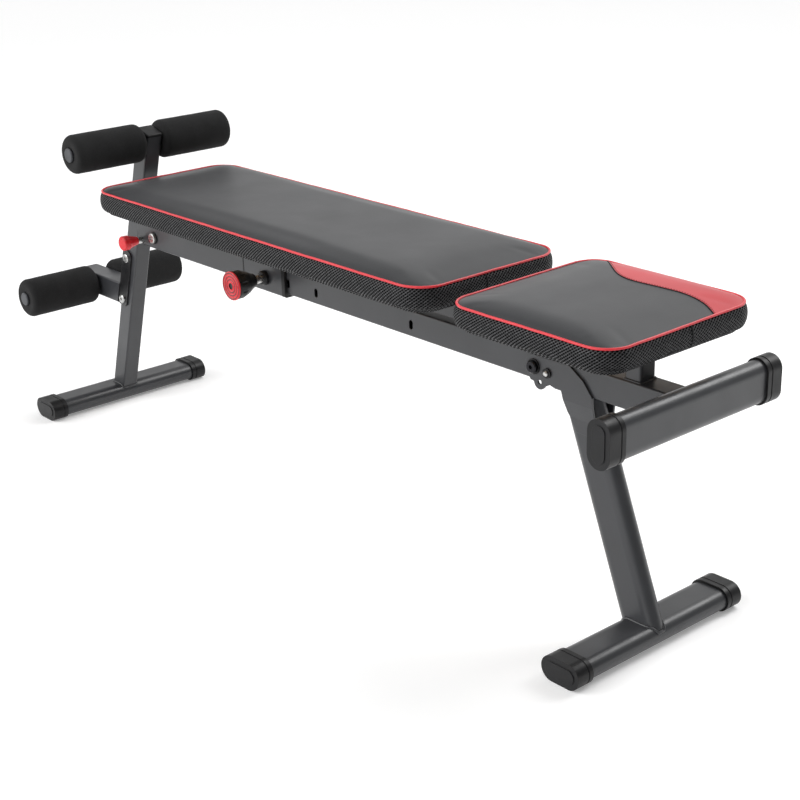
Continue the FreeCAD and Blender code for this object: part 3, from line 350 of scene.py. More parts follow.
def ringed_disc_look(name, axis_x, axis_z):
    """Red plastic with rings of grooves moulded into its face round an axis along Y, painted near black
    as shade, and a darkened middle.
    """
    look = Look(name, RED, 0.28, Specular_IOR_Level=0.4)
    look.soft_edges(0.4)
    place = look.split(look.coordinates())
    across = look.maths("POWER", look.maths("SUBTRACT", place["X"], axis_x), 2)
    up = look.maths("POWER", look.maths("SUBTRACT", place["Z"], axis_z), 2)
    radius = look.maths("SQRT", look.maths("ADD", across, up))
    tone = look.mix(look.uneven(40, 3, 0.3, 0.7), RED, (0.60, 0.020, 0.028))
    # the middle is darkened, and each groove gets painted shade toward near black
    dark = look.span(radius, 4.8 * MM, 5.5 * MM, 1, 0)
    for middle in DISC_GROOVES:
        gap = look.maths("ABSOLUTE", look.maths("SUBTRACT", radius, middle))
        dark = look.maths("MAXIMUM", dark, look.span(gap, 0.6 * MM, 1.1 * MM, 0.85, 0))
    look.colour(look.mix(dark, tone, (0.010, 0.010, 0.011)))
    look.rough(look.uneven(80, 4, 0.25, 0.75, 0.22, 0.36))
    look.bump(look.cells(900, feature="SMOOTH_F1"), 0.15, 0.05)
    return look.material


def pivot_steel_look(name, black_from_x):
    """Zinc-plated bolts, and black ones past black_from_x."""
    look = Look(name, ZINC, 0.26, Metallic=1.0)
    look.soft_edges(0.35)
    along = look.split(look.coordinates())["X"]
    tarnish = look.uneven(120, 5, 0.5, 0.75, 0, 0.5)
    zinc = look.mix(tarnish, ZINC, (0.34, 0.32, 0.28))
    black = look.mix(tarnish, (0.030, 0.030, 0.033), (0.055, 0.054, 0.052))
    look.colour(look.mix(look.span(along, black_from_x, black_from_x + MM), zinc, black))
    look.rough(look.uneven(300, 3, 0.3, 0.7, 0.20, 0.40))
    look.bump(look.noise(900, detail=2, stretch=(1, 0.1, 1)), 0.10, 0.03)
    return look.material


RINGED_DISC = ringed_disc_look("ringed_disc_red", -0.1279, 0.350)
PIVOT_STEEL = pivot_steel_look("pivot_bolt_steel", 0.40)


# ---------------------------------------------------------------- mesh helpers

def mesh_object(name, vertices, faces, materials, smooth=True):
    """A new object with its own mesh, in the scene."""
    mesh = bpy.data.meshes.new(name)
    mesh.from_pydata([tuple(v) for v in vertices], [], faces)
    mesh.update()
    for material in materials:
        mesh.materials.append(material)
    mesh.polygons.foreach_set("use_smooth", [smooth] * len(mesh.polygons))
    made = bpy.data.objects.new(name, mesh)
    bpy.context.scene.collection.objects.link(made)
    return made


def surface_of(obj):
    """A search tree over an object's faces, in the row frame."""
    points = [v.co.copy() for v in obj.data.vertices]
    return BVHTree.FromPolygons(points, [tuple(p.vertices) for p in obj.data.polygons])


def tube(name, path, radii, material, closed=False, sides=10, flatten=None):
    """A swept tube. radii is one number or one for each point; flatten squeezes it along a direction."""
    path = [Vector(p) for p in path]
    count = len(path)
    radii = [radii] * count if isinstance(radii, (int, float)) else radii
    vertices, faces, up = [], [], None
    for i, point in enumerate(path):
        ahead = path[(i + 1) % count] if closed or i < count - 1 else point
        behind = path[i - 1] if closed or i > 0 else point
        forward = (ahead - behind).normalized()
        if up is None:
            up = forward.orthogonal().normalized()
        up = (up - forward * up.dot(forward)).normalized()
        side = forward.cross(up)
        for k in range(sides):
            turn = 2 * math.pi * k / sides
            offset = (up * math.cos(turn) + side * math.sin(turn)) * radii[i]
            if flatten is not None:
                axis, keep = flatten
                offset -= Vector(axis) * offset.dot(Vector(axis)) * (1 - keep)
            vertices.append(point + offset)
    rings = count if closed else count - 1
    start_twist = 0
    if closed:
        first = vertices[0] - path[0]
        last = [(vertices[(count - 1) * sides + k] - path[-1]).normalized() for k in range(sides)]
        start_twist = max(range(sides), key=lambda k: last[k].dot(first.normalized()))
    for i in range(rings):
        wrap = i == count - 1
        for k in range(sides):
            a, b = i * sides + k, i * sides + (k + 1) % sides
            if wrap:
                a = i * sides + (k + start_twist) % sides
                b = i * sides + (k + 1 + start_twist) % sides
            j = (i + 1) % count
            faces.append((a, b, j * sides + (k + 1) % sides, j * sides + k))
    if not closed:
        faces.append(tuple(range(sides))[::-1])
        faces.append(tuple((count - 1) * sides + k for k in range(sides)))
    made = mesh_object(name, vertices, faces, [material])
    outward(made)
    return made


def torus_faces(rows, sides):
    """Quads between rows of points, closed both ways."""
    return [(i * sides + k, i * sides + (k + 1) % sides,
             (i + 1) % rows * sides + (k + 1) % sides, (i + 1) % rows * sides + k)
            for i in range(rows) for k in range(sides)]


def outward(obj):
    """Turns every face of a closed mesh outward."""
    work = bmesh.new()
    work.from_mesh(obj.data)
    bmesh.ops.recalc_face_normals(work, faces=work.faces)
    work.to_mesh(obj.data)
    work.free()
    obj.data.update()


def wave(x, seed=0.0):
    """A smooth, repeatable wobble between about -1 and 1."""
    return (math.sin(x + seed) + 0.6 * math.sin(2.3 * x + 1.7 * seed + 1.1)
            + 0.4 * math.sin(4.1 * x + 0.6 * seed + 2.3)) / 2.0


# ---------------------------------------------------------------- pads

class Outline:
    """A rectangle with round corners, seen from above, centred on the pad."""

    def __init__(self, low, high, corner, lean=0.0):
        self.mid = ((low[0] + high[0]) / 2, (low[1] + high[1]) / 2)
        self.half = ((high[0] - low[0]) / 2, (high[1] - low[1]) / 2)
        self.corner = corner
        self.lean = lean

    def grid(self, step):
        """Points in rows and columns that fill the outline, with the corners drawn on to their arcs."""
        counts = [max(4, round(2 * h / step)) for h in self.half]
        rows = []
        for j in range(counts[1] + 1):
            y = -self.half[1] + 2 * self.half[1] * j / counts[1]
            rows.append([self.drawn_in(-self.half[0] + 2 * self.half[0] * i / counts[0], y)
                         for i in range(counts[0] + 1)])
        return rows

    def drawn_in(self, x, y):
        r = self.corner
        p = (abs(x) - (self.half[0] - r)) / r
        q = (abs(y) - (self.half[1] - r)) / r
        if p <= 0 or q <= 0:
            return x, y
        px, qy = p * math.sqrt(1 - q * q / 2), q * math.sqrt(1 - p * p / 2)
        return (math.copysign(self.half[0] - r + px * r, x), math.copysign(self.half[1] - r + qy * r, y))

    def depth(self, x, y):
        """How far a point is inside the outline."""
        r = self.corner
        dx, dy = abs(x) - (self.half[0] - r), abs(y) - (self.half[1] - r)
        if dx > 0 and dy > 0:
            return r - math.hypot(dx, dy)
        return min(self.half[0] - abs(x), self.half[1] - abs(y))

    def outward(self, x, y):
        """The outline's outward direction nearest to a point on it."""
        r = self.corner
        dx, dy = abs(x) - (self.half[0] - r), abs(y) - (self.half[1] - r)
        if dx > 1e-7 and dy > 1e-7:
            length = math.hypot(dx, dy)
            return math.copysign(dx / length, x), math.copysign(dy / length, y)
        if self.half[0] - abs(x) < self.half[1] - abs(y):
            return math.copysign(1.0, x), 0.0
        return 0.0, math.copysign(1.0, y)

    def inside(self, x, y, out, inset, z):
        """The scene's point that is inset from (x, y) on the outline, against out, at height z."""
        return Vector((self.mid[0] + x - out[0] * inset, self.mid[1] + y - out[1] * inset, z))

    def walk(self, step):
        """Points round the outline, each with its direction outward and its distance along."""
        a, b, r = self.half[0], self.half[1], self.corner
        sides = [((-(a - r), -b), (a - r, -b), (0, -1)), ((a, -(b - r)), (a, b - r), (1, 0)),
                 ((a - r, b), (-(a - r), b), (0, 1)), ((-a, b - r), (-a, -(b - r)), (-1, 0))]
        centres = [(a - r, -(b - r)), (a - r, b - r), (-(a - r), b - r), (-(a - r), -(b - r))]
        made, along = [], 0.0
        for (start, end, out), centre in zip(sides, centres):
            length = math.dist(start, end)
            count = max(2, round(length / step))
            for i in range(count):
                t = i / count
                made.append((start[0] + (end[0] - start[0]) * t, start[1] + (end[1] - start[1]) * t,
                             out, along + length * t))
            along += length
            count = max(4, round(r * math.pi / 2 / step))
            first = math.atan2(out[1], out[0])
            for i in range(count):
                turn = first + math.pi / 2 * i / count
                out_here = (math.cos(turn), math.sin(turn))
                made.append((centre[0] + r * out_here[0], centre[1] + r * out_here[1],
                             out_here, along + r * math.pi / 2 * i / count))
            along += r * math.pi / 2
        return made, along


# distance inside the outline and height under the piping, for each row of the side band, in mm
SIDE_ROWS = [(3.0, 2.6), (1.2, 6.4), (0.3, 10.8), (0.0, 15.4), (0.2, 20.0), (0.9, 24.4), (2.3, 28.2),
             (4.6, 31.0), (8.2, 32.3)]
BAND_TALL = 33
# how far the seam is inside the outline, in mm
SEAM_INSET = 5.6
# the top's rise, the width of its roll at the sides, and its fall toward the two ends
CROWN = 10.5 * MM
CROWN_ROLL = 38 * MM
CROWN_TAPER = 120 * MM
CROWN_AT_ENDS = 0.42
SEAM_HEIGHT = 459.0 * MM
PAD_UNDERSIDE = 426.5 * MM
GRID_STEP = 6.0 * MM
PIPING = 1.75 * MM
PUCKER_PITCH = 6.5 * MM
NEAR_SEAT_DROP = 1.2 * MM
UNDERSIDE_INSET = 9.0 * MM
# cloth: frames of simulation, pressure, and the most that a point may move on the top and on the sides
FILL_FRAMES = 20
FILL_PRESSURE = 4.0
FILL_TOP = 2.0 * MM
FILL_SIDE = 1.4 * MM


def seam_height(outline, y):
    """The seam's height: level on the backrest, a little lower on the near side of the seat."""
    return SEAM_HEIGHT + outline.lean * y - NEAR_SEAT_DROP * (outline.lean > 0)


def pad_shell(name, outline, edge_wave, seed):
    """The pad before it is filled: top sheet, side band in rows and underside, as one closed mesh."""
    rows = outline.grid(GRID_STEP)
    height, width = len(rows), len(rows[0])
    vertices, faces, zones, band = [], [], [], []
    index = {}

    def keep(point):
        vertices.append(point)
        return len(vertices) - 1

    def at(x, y, inset, z):
        return outline.inside(x, y, outline.outward(x, y), inset, z)

    seam_low = tuple(m - h + SEAM_INSET * MM for m, h in zip(outline.mid, outline.half))
    seam_high = tuple(m + h - SEAM_INSET * MM for m, h in zip(outline.mid, outline.half))
    sheet = Outline(seam_low, seam_high, outline.corner - SEAM_INSET * MM)
    ring = [(0, i) for i in range(width)] + [(j, width - 1) for j in range(1, height)]
    ring += [(height - 1, i) for i in range(width - 2, -1, -1)]
    ring += [(j, 0) for j in range(height - 2, 0, -1)]
    on_ring = set(ring)
    for j, row in enumerate(rows):
        for i, (x, y) in enumerate(row):
            if (j, i) in on_ring:
                index[j, i] = keep(at(x, y, SEAM_INSET * MM, seam_height(outline, y)))
            else:
                x *= sheet.half[0] / outline.half[0]
                y *= sheet.half[1] / outline.half[1]
                fall = 1 - min(max(sheet.depth(x, y), 0) / CROWN_ROLL, 1)
                from_end = min(max((sheet.half[0] - abs(x)) / CROWN_TAPER, 0), 1)
                full = CROWN_AT_ENDS + (1 - CROWN_AT_ENDS) * math.sin(from_end * math.pi / 2)
                index[j, i] = keep((outline.mid[0] + x, outline.mid[1] + y,
                                    seam_height(outline, y) + CROWN * full * math.sqrt(1 - fall * fall)))
    for j in range(height - 1):
        for i in range(width - 1):
            faces.append((index[j, i], index[j, i + 1], index[j + 1, i + 1], index[j + 1, i]))
            zones.append(0)
            band.append(None)
    along = [0.0]
    places = [rows[j][i] for j, i in ring]
    for k in range(1, len(places) + 1):
        along.append(along[-1] + math.dist(places[k - 1], places[k % len(places)]))
    previous = [index[j, i] for j, i in ring]
    seam_ring = list(previous)
    low = 0.0
    for inset, drop in SIDE_ROWS:
        made = []
        for k, (x, y) in enumerate(places):
            sway = edge_wave * wave(along[k] * 55, seed) * (drop / BAND_TALL) ** 2
            level = seam_height(outline, y)
            z = level - (drop - sway) * MM * (level - PAD_UNDERSIDE) / (SEAM_HEIGHT - PAD_UNDERSIDE)
            made.append(keep(at(x, y, (inset + 0.35 * sway) * MM, z)))
        for k in range(len(places)):
            n = (k + 1) % len(places)
            faces.append((previous[k], made[k], made[n], previous[n]))
            zones.append(1)
            band.append(((along[k], -low * MM), (along[k], -drop * MM),
                         (along[k + 1], -drop * MM), (along[k + 1], -low * MM)))
        previous, low = made, drop
    floor = {}
    for place, number in zip(ring, previous):
        floor[place] = number
    for j, row in enumerate(rows):
        for i, (x, y) in enumerate(row):
            if (j, i) not in floor:
                shrink = 1 - UNDERSIDE_INSET / min(outline.half)
                floor[j, i] = keep((outline.mid[0] + x * shrink, outline.mid[1] + y * shrink,
                                    PAD_UNDERSIDE))
    for j in range(height - 1):
        for i in range(width - 1):
            faces.append((floor[j, i], floor[j + 1, i], floor[j + 1, i + 1], floor[j, i + 1]))
            zones.append(2)
            band.append(None)
    made = mesh_object(name, vertices, faces, [LOOKS["black_vinyl"], BLACK_MESH, LINING])
    made.data.polygons.foreach_set("material_index", zones)
    lengths = made.data.attributes.new(BAND, "FLOAT_VECTOR", "CORNER")
    for polygon, corners in zip(made.data.polygons, band):
        if corners is None:
            continue
        for loop, (s, h) in zip(polygon.loop_indices, corners):
            lengths.data[loop].vector = (s, h, 0)
    creases = made.data.attributes.new("crease_edge", "FLOAT", "EDGE")
    seam = set(zip(seam_ring, seam_ring[1:] + seam_ring[:1]))
    for edge in made.data.edges:
        a, b = edge.vertices
        if (a, b) in seam or (b, a) in seam:
            creases.data[edge.index].value = 1.0
    held = made.vertex_groups.new(name="held")
    underside = [n for place, n in floor.items() if place not in on_ring]
    held.add(seam_ring + previous + underside, 1.0, "REPLACE")
    return made


def fill_with_foam(pad):
    """Swells the cover with cloth pressure, keeps every point near its start, and smooths the result."""
    start = np.array([v.co[:] for v in pad.data.vertices])
    top = np.zeros(len(start), bool)
    for polygon in pad.data.polygons:
        if polygon.material_index == 0:
            top[list(polygon.vertices)] = True
    cloth = pad.modifiers.new("cover", "CLOTH")
    settings = cloth.settings
    settings.quality = 4
    settings.mass = 0.3
    settings.tension_stiffness = 15
    settings.compression_stiffness = 15
    settings.shear_stiffness = 5
    settings.bending_stiffness = 0.8
    settings.use_pressure = True
    settings.uniform_pressure_force = FILL_PRESSURE
    settings.effector_weights.gravity = 0
    settings.vertex_group_mass = "held"
    cloth.collision_settings.use_collision = False
    cloth.point_cache.frame_start = 1
    cloth.point_cache.frame_end = FILL_FRAMES
    for number in range(1, FILL_FRAMES + 1):
        bpy.context.scene.frame_set(number)
    shaped = pad.evaluated_get(bpy.context.evaluated_depsgraph_get())
    swollen = np.array([v.co[:] for v in shaped.data.vertices])
    pad.modifiers.remove(cloth)
    bpy.context.scene.frame_set(1)
    move = swollen - start
    length = np.linalg.norm(move, axis=1)
    cap = np.where(top, FILL_TOP, FILL_SIDE)
    kept = cap * np.tanh(length / cap)
    move *= (kept / np.maximum(length, 1e-9))[:, None]
    pad.data.vertices.foreach_set("co", (start + move).ravel())
    pad.data.update()
    smooth = pad.modifiers.new("smooth", "SUBSURF")
    smooth.levels = 1
    smooth.render_levels = 1
    shaped = pad.evaluated_get(bpy.context.evaluated_depsgraph_get())
    finished = bpy.data.meshes.new_from_object(shaped)
    pad.modifiers.remove(smooth)
    pad.data = finished
    pad.vertex_groups.clear()


def piping_round(name, outline, body):
    """The red welt sewn round the top edge, with small puckers at its stitches."""
    walk, _ = outline.walk(2.0 * MM)
    path, radii = [], []
    for x, y, out, along in walk:
        level = seam_height(outline, y) + 0.4 * MM + 0.25 * MM * wave(along * 40, 3)
        path.append(outline.inside(x, y, out, (SEAM_INSET - 0.9) * MM, level))
        pucker = 0.035 * math.sin(along * 2 * math.pi / PUCKER_PITCH)
        radii.append(PIPING * (1 + pucker + 0.03 * wave(along * 90)))
    made = tube(name, path, radii, RED_PIPING, closed=True, sides=12)
    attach(made, body)


def cover_wrap(name, outline, body, seed):
    """The cover's edge, drawn round the board and turned under it, as a thin closed strip."""
    walk, length = outline.walk(5.0 * MM)
    # distance inside the outline and height, in mm
    section = [(3.2, 430.5), (5.6, 427.6), (9.4, 426.1), (12.2, 424.6), (12.9, 422.7), (14.2, 421.1),
               (20.0, 420.9), (25.0, 420.9), (25.0, 421.7), (20.0, 421.7), (14.8, 421.8), (13.8, 423.2),
               (13.2, 425.2), (10.4, 427.4), (5.4, 431.0)]
    count = len(section)
    vertices = []
    for x, y, out, along in walk:
        ruffle = wave(along * 120, seed)
        for inset, z in section:
            reach = inset + (1.6 * ruffle if inset > 18 else 0)
            push = 0.3 * ruffle if inset < 13 else 0
            vertices.append(outline.inside(x, y, out, (reach - push) * MM, z * MM))
    made = mesh_object(name, vertices, torus_faces(len(walk), count), [BLACK_MESH])
    outward(made)
    girth = [0.0]
    for (a, za), (b, zb) in zip(section, section[1:]):
        girth.append(girth[-1] + math.hypot(b - a, zb - za) * MM)
    lengths = made.data.attributes.new(BAND, "FLOAT_VECTOR", "CORNER")
    for polygon in made.data.polygons:
        columns_of = [vertex // count for vertex in polygon.vertices]
        closing = max(columns_of) == len(walk) - 1 and min(columns_of) == 0
        for loop, vertex in zip(polygon.loop_indices, polygon.vertices):
            k, m = divmod(vertex, count)
            along = length if closing and k == 0 else walk[k][3]
            lengths.data[loop].vector = (along, -0.03 - girth[m], 0)
    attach(made, body)


STAPLE_PITCH = 34 * MM


def staples(name, outline, body):
    """Staples that hold the cover's edge to the board."""
    walk, length = outline.walk(1.0 * MM)
    vertices, faces = [], []
    count = round(length / STAPLE_PITCH)
    for k in range(count):
        x, y, out, _ = walk[int(len(walk) * k / count)]
        side = Vector((-out[1], out[0], 0))
        middle = outline.inside(x, y, out, 19 * MM, 420.7 * MM)
        tilt = 0.25 * wave(k * 1.7)
        along = (side + Vector((out[0], out[1], 0)) * tilt).normalized()
        profile = [(-5.2, 0.3), (-5.0, -0.35), (-4.5, -0.6), (4.5, -0.6), (5.0, -0.35), (5.2, 0.3)]
        across = along.cross(Vector((0, 0, 1)))
        base = len(vertices)
        for t, z in profile:
            for w in (-0.5, 0.5):
                corner = middle + along * t * MM + across * w * MM
                vertices += [corner + Vector((0, 0, z * MM)), corner + Vector((0, 0, (z + 0.5) * MM))]
        for i in range(len(profile) - 1):
            a = base + i * 4
            b = a + 4
            faces += [(a, a + 2, b + 2, b), (a + 1, b + 1, b + 3, a + 3), (a, b, b + 1, a + 1),
                      (a + 2, a + 3, b + 3, b + 2)]
        faces += [(base, base + 1, base + 3, base + 2), (base + 20, base + 22, base + 23, base + 21)]
    made = mesh_object(name, vertices, faces, [LOOKS["zinc_steel"]], smooth=False)
    outward(made)
    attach(made, body)


def side_seam(name, pad_surface, place, out, body):
    """A sewn joint in the side band: a narrow ridge that follows the pad's side from the piping down."""
    path = []
    for k in range(16):
        z = (456.5 - k * 1.9) * MM
        start = Vector((place[0], place[1], z)) + Vector(out) * 0.03
        hit = pad_surface.ray_cast(start, -Vector(out))
        if hit[0] is None:
            continue
        path.append(hit[0] + Vector(out) * 0.1 * MM)
    radii = [1.15 * MM * (1 + 0.12 * math.sin(k * 2.1)) for k in range(len(path))]
    made = tube(name, path, radii, THREAD, sides=8, flatten=(out, 0.7))
    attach(made, body)


def build_pad(name, node, corner, body, edge_wave, seed, lean=0.0):
    """A whole upholstered pad over the CAD cushion that it stands for."""
    low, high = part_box(node)
    outline = Outline(low, high, corner * MM, lean)
    pad = pad_shell(name, outline, edge_wave, seed)
    fill_with_foam(pad)
    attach(pad, body)
    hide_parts(node)
    piping_round(name + "_piping", outline, body)
    cover_wrap(name + "_cover_edge", outline, body, seed)
    staples(name + "_staples", outline, body)
    return pad, outline


backrest_pad, backrest_outline = build_pad("backrest_pad", "backrest_cushion", 46, "backrest", 1.2, 2.0)
seat_pad, seat_outline = build_pad("seat_pad", "seat_cushion", 42, "frame", 2.6, 5.0, lean=0.010)
backrest_skin = surface_of(backrest_pad)
seat_skin = surface_of(seat_pad)
seat_end = seat_outline.mid[0] + seat_outline.half[0]
backrest_end = backrest_outline.mid[0] + backrest_outline.half[0]
side_seam("seat_pad_side_seam", seat_skin, (seat_end, 8 * MM), (1, 0, 0), "frame")
side_seam("backrest_pad_side_seam", backrest_skin, (backrest_end, -15 * MM), (1, 0, 0), "backrest")


# ---------------------------------------------------------------- red panel on the seat

# points of the panel's border, X and Y in mm
PANEL_EDGE = [(452, 140.6), (469, 124), (497, 99.5), (527, 77), (551, 67.5), (575, 66), (608, 69),
              (644, 73), (677, 70), (702, 58.5), (712, 52)]


def edge_y(x):
    """The red panel's border, as a smooth curve of Y over X, in metres."""
    xs = [p[0] * MM for p in PANEL_EDGE]
    ys = [p[1] * MM for p in PANEL_EDGE]
    k = max(0, min(len(xs) - 2, sum(1 for v in xs[1:] if v <= x)))
    slopes = []
    for i in range(len(xs)):
        a, b = max(i - 1, 0), min(i + 1, len(xs) - 1)
        slopes.append((ys[b] - ys[a]) / (xs[b] - xs[a]))
    h = xs[k + 1] - xs[k]
    t = (x - xs[k]) / h
    return ((2 * t ** 3 - 3 * t ** 2 + 1) * ys[k] + (t ** 3 - 2 * t ** 2 + t) * h * slopes[k]
            + (3 * t ** 2 - 2 * t ** 3) * ys[k + 1] + (t ** 3 - t ** 2) * h * slopes[k + 1])


def far_y(x):
    """The seat's far seam at X."""
    r = seat_outline.corner - SEAM_INSET * MM
    start = seat_outline.mid[0] + seat_outline.half[0] - seat_outline.corner
    straight = seat_outline.mid[1] + seat_outline.half[1] - seat_outline.corner
    if x <= start:
        return straight + r
    return straight + math.sqrt(max(r * r - (x - start) ** 2, 0))


def on_seat(x, y, lift):
    """The point that is lift above the seat's top at X and Y."""
    hit = seat_skin.ray_cast(Vector((x, y, 0.6)), Vector((0, 0, -1)))
    if hit[0] is None:
        return Vector((x, y, SEAM_HEIGHT + lift))
    return hit[0] + hit[1] * lift


first_x, last_x = PANEL_EDGE[0][0] * MM + 0.002, seat_end - SEAM_INSET * MM - 0.0002
columns, lines = 110, 28
vertices, faces = [], []
for i in range(columns + 1):
    t = i / columns
    x = first_x + (last_x - first_x) * (1 - (1 - t) ** 1.6)
    for j in range(lines + 1):
        y = edge_y(x) + (far_y(x) - edge_y(x)) * j / lines
        vertices.append(on_seat(x, y, 0.45 * MM))
for i in range(columns):
    for j in range(lines):
        a, b = i * (lines + 1) + j, (i + 1) * (lines + 1) + j
        faces.append((a, b, b + 1, a + 1))
red_panel = mesh_object("seat_pad_red_panel", vertices, faces, [RED_VINYL])
thickness = red_panel.modifiers.new("thickness", "SOLIDIFY")
thickness.thickness = 0.9 * MM
thickness.offset = -1
red_panel.data = bpy.data.meshes.new_from_object(
    red_panel.evaluated_get(bpy.context.evaluated_depsgraph_get()))
red_panel.modifiers.clear()
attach(red_panel, "frame")

border_steps = 160
border = []
for i in range(border_steps + 1):
    x = first_x + (last_x - first_x) * (i / border_steps)
    border.append((x, edge_y(x)))
# a black cord along the panel's border: the sewn seam, and painted shade for the fold beside it
seam_and_shade_cord = tube("seat_pad_panel_seam_and_shade", [on_seat(x, y - 0.6 * MM, 0.15 * MM) for x, y in border],
                 [0.95 * MM * (1 + 0.1 * math.sin(k * 1.3)) for k in range(border_steps + 1)], THREAD,
                 sides=8)
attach(seam_and_shade_cord, "frame")


def stitches(name, points, body, pitch=4.2 * MM, long=2.9 * MM, radius=0.34 * MM):
    """Single stitches along a line on the seat."""
    distance, vertices, faces = [0.0], [], []
    for a, b in zip(points, points[1:]):
        distance.append(distance[-1] + (b - a).length)
    for n in range(int(distance[-1] / pitch)):
        middle = (n + 0.5) * pitch
        k = max(i for i, d in enumerate(distance[:-1]) if d <= middle)
        t = (middle - distance[k]) / (distance[k + 1] - distance[k])
        place = points[k].lerp(points[k + 1], t)
        forward = (points[k + 1] - points[k]).normalized()
        side = forward.cross(Vector((0, 0, 1))).normalized()
        lift = side.cross(forward)
        base = len(vertices)
        for s in range(7):
            u = s / 6 * 2 - 1
            r = radius * math.sqrt(max(1 - u ** 4, 0.05))
            spot = place + forward * u * long / 2 - lift * 0.35 * MM * u * u
            for q in range(6):
                turn = math.pi * q / 3
                vertices.append(spot + side * r * math.cos(turn) + lift * r * math.sin(turn))
        for s in range(6):
            for q in range(6):
                a, b = base + s * 6 + q, base + s * 6 + (q + 1) % 6
                faces.append((a, b, b + 6, a + 6))
        faces += [tuple(base + q for q in range(6))[::-1], tuple(base + 36 + q for q in range(6))]
    made = mesh_object(name, vertices, faces, [THREAD])
    outward(made)
    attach(made, body)


stitches("seat_pad_panel_stitches", [on_seat(x, y + 2.6 * MM, 0.55 * MM) for x, y in border[3:]], "frame")


# ---------------------------------------------------------------- foam rollers

def foam_roller(name, node, body, seed):
    """A foam sleeve turned round its axle, with soft ends and a slightly uneven skin."""
    low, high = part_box(node)
    centre = (low + high) / 2
    radius = (high.x - low.x) / 2
    half = (high.y - low.y) / 2
    bore, soft, sides = 11.3 * MM, 10.0 * MM, 72
    profile = [(bore, half - 5 * MM), (bore + 0.6 * MM, half - 1.6 * MM),
               (bore + 2.2 * MM, half - 0.7 * MM), (bore + 6 * MM, half - 0.3 * MM),
               (radius - soft - 3 * MM, half - 0.1 * MM)]
    for k in range(10):
        turn = math.pi / 2 * k / 9
        profile.append((radius - soft + soft * math.sin(turn), half - soft + soft * math.cos(turn)))
    inner = half - soft
    for k in range(1, 12):
        profile.append((radius, inner - 2 * inner * k / 12))
    profile += [(r, -t) for r, t in reversed(profile[:15])]
    vertices = []
    for r, t in profile:
        for k in range(sides):
            turn = 2 * math.pi * k / sides
            shape = 0.22 * wave(3 * turn, seed) * wave(t * 60, seed + 1) + 0.12 * wave(t * 160, seed)
            ease = min(1, max(0, (r - bore) / (radius - bore)))
            shown = r + shape * MM * ease
            vertices.append((centre.x + shown * math.cos(turn), centre.y + t,
                             centre.z + shown * math.sin(turn)))
    made = mesh_object(name, vertices, torus_faces(len(profile), sides), [LOOKS["black_foam"]])
    outward(made)
    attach(made, body)
    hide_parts(node)


ROLLERS = [("upper", "near"), ("upper", "far"), ("lower", "near"), ("lower", "far")]
for number, (level, side) in enumerate(ROLLERS):
    foam_roller(f"{level}_roller_{side}_foam", f"{level}_foam_{side}", f"{level}_roller_{side}",
                1.0 + 2.3 * number)


# ---------------------------------------------------------------- weld beads

RIPPLE_PITCH = 3.4 * MM


def weld(name, outline_points, direction, target, body, bead=2.1):
    """A painted weld bead where a tube meets another part.

    Each outline point is carried along direction until it meets the target. bead is the radius in mm.
    """
    surface = surface_of(nodes[target])
    way = Vector(direction).normalized()
    path = []
    for point in outline_points:
        hit = surface.ray_cast(Vector(point), way)
        if hit[0] is not None:
            path.append(hit[0])
    radii, along = [], 0.0
    for k, point in enumerate(path):
        along += (point - path[k - 1]).length if k else 0
        ripple = 0.10 * math.sin(along * 2 * math.pi / RIPPLE_PITCH) + 0.08 * wave(along * 150)
        radii.append(bead * MM * (1 + ripple))
    made = tube(name, path, radii, LOOKS["black_frame_paint"], closed=True, sides=8)
    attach(made, body)


def rounded_section(centre, first, second, half_first, half_second, corner, step=1.2 * MM):
    """Points round a rectangle with round corners in the plane of two directions."""
    flat = Outline((-half_first, -half_second), (half_first, half_second), corner)
    walk, _ = flat.walk(step)
    first, second, centre = Vector(first), Vector(second), Vector(centre)
    return [centre + first * x + second * y for x, y, _, _ in walk]


# the leg's and the post's axes, each carried down to just above its foot
LEG_LEAN = math.radians(21.0)
leg_down = Vector((math.sin(LEG_LEAN), 0, -math.cos(LEG_LEAN)))
leg_across = Vector((math.cos(LEG_LEAN), 0, math.sin(LEG_LEAN)))
leg_place = Vector((0.538, 0, 0.3315)) + leg_down * 0.24
weld("weld_rear_foot", rounded_section(leg_place, leg_across, (0, 1, 0), 30.4 * MM, 15.4 * MM, 15.3 * MM),
     leg_down, "rear_foot_tube", "rear_leg")

POST_LEAN = math.radians(17.2)
post_down = Vector((-math.sin(POST_LEAN), 0, -math.cos(POST_LEAN)))
post_across = Vector((math.cos(POST_LEAN), 0, -math.sin(POST_LEAN)))
post_place = Vector((-0.5344, 0, 0.3515)) + post_down * 0.28
weld("weld_front_foot",
     rounded_section(post_place, post_across, (0, 1, 0), 17.9 * MM, 15.4 * MM, 3.2 * MM),
     post_down, "front_foot_tube", "front_post")

weld("weld_cross_tube",
     rounded_section((0.68, 0, 0.3515), (0, 1, 0), (0, 0, 1), 20.4 * MM, 20.4 * MM, 3.2 * MM),
     (1, 0, 0), "cross_tube", "frame")
for end, middle in (("front", 0.4601), ("rear", 0.6361)):
    weld(f"weld_seat_riser_{end}",
         rounded_section((middle, 0, 0.39), (1, 0, 0), (0, 1, 0), 14.4 * MM, 15.4 * MM, 3.2 * MM),
         (0, 0, -1), "main_beam", "frame", bead=1.8)

for level, node, carrier, clear in (("upper", "upper_axle", "front_post_tube", 0.0175),
                                    ("lower", "lower_axle", "lower_arm_tube", 0.0215)):
    low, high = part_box(node)
    axle = (low + high) / 2
    radius = (high.x - low.x) / 2 + 0.4 * MM
    for side, sign in (("near", -1), ("far", 1)):
        circle = [(axle.x + radius * math.cos(t * math.pi / 36), sign * clear * 1.5,
                   axle.z + radius * math.sin(t * math.pi / 36)) for t in range(72)]
        weld(f"weld_{level}_axle_{side}", circle, (0, -sign, 0), carrier, "front_post", bead=1.5)


# ---------------------------------------------------------------- finishes on the CAD parts

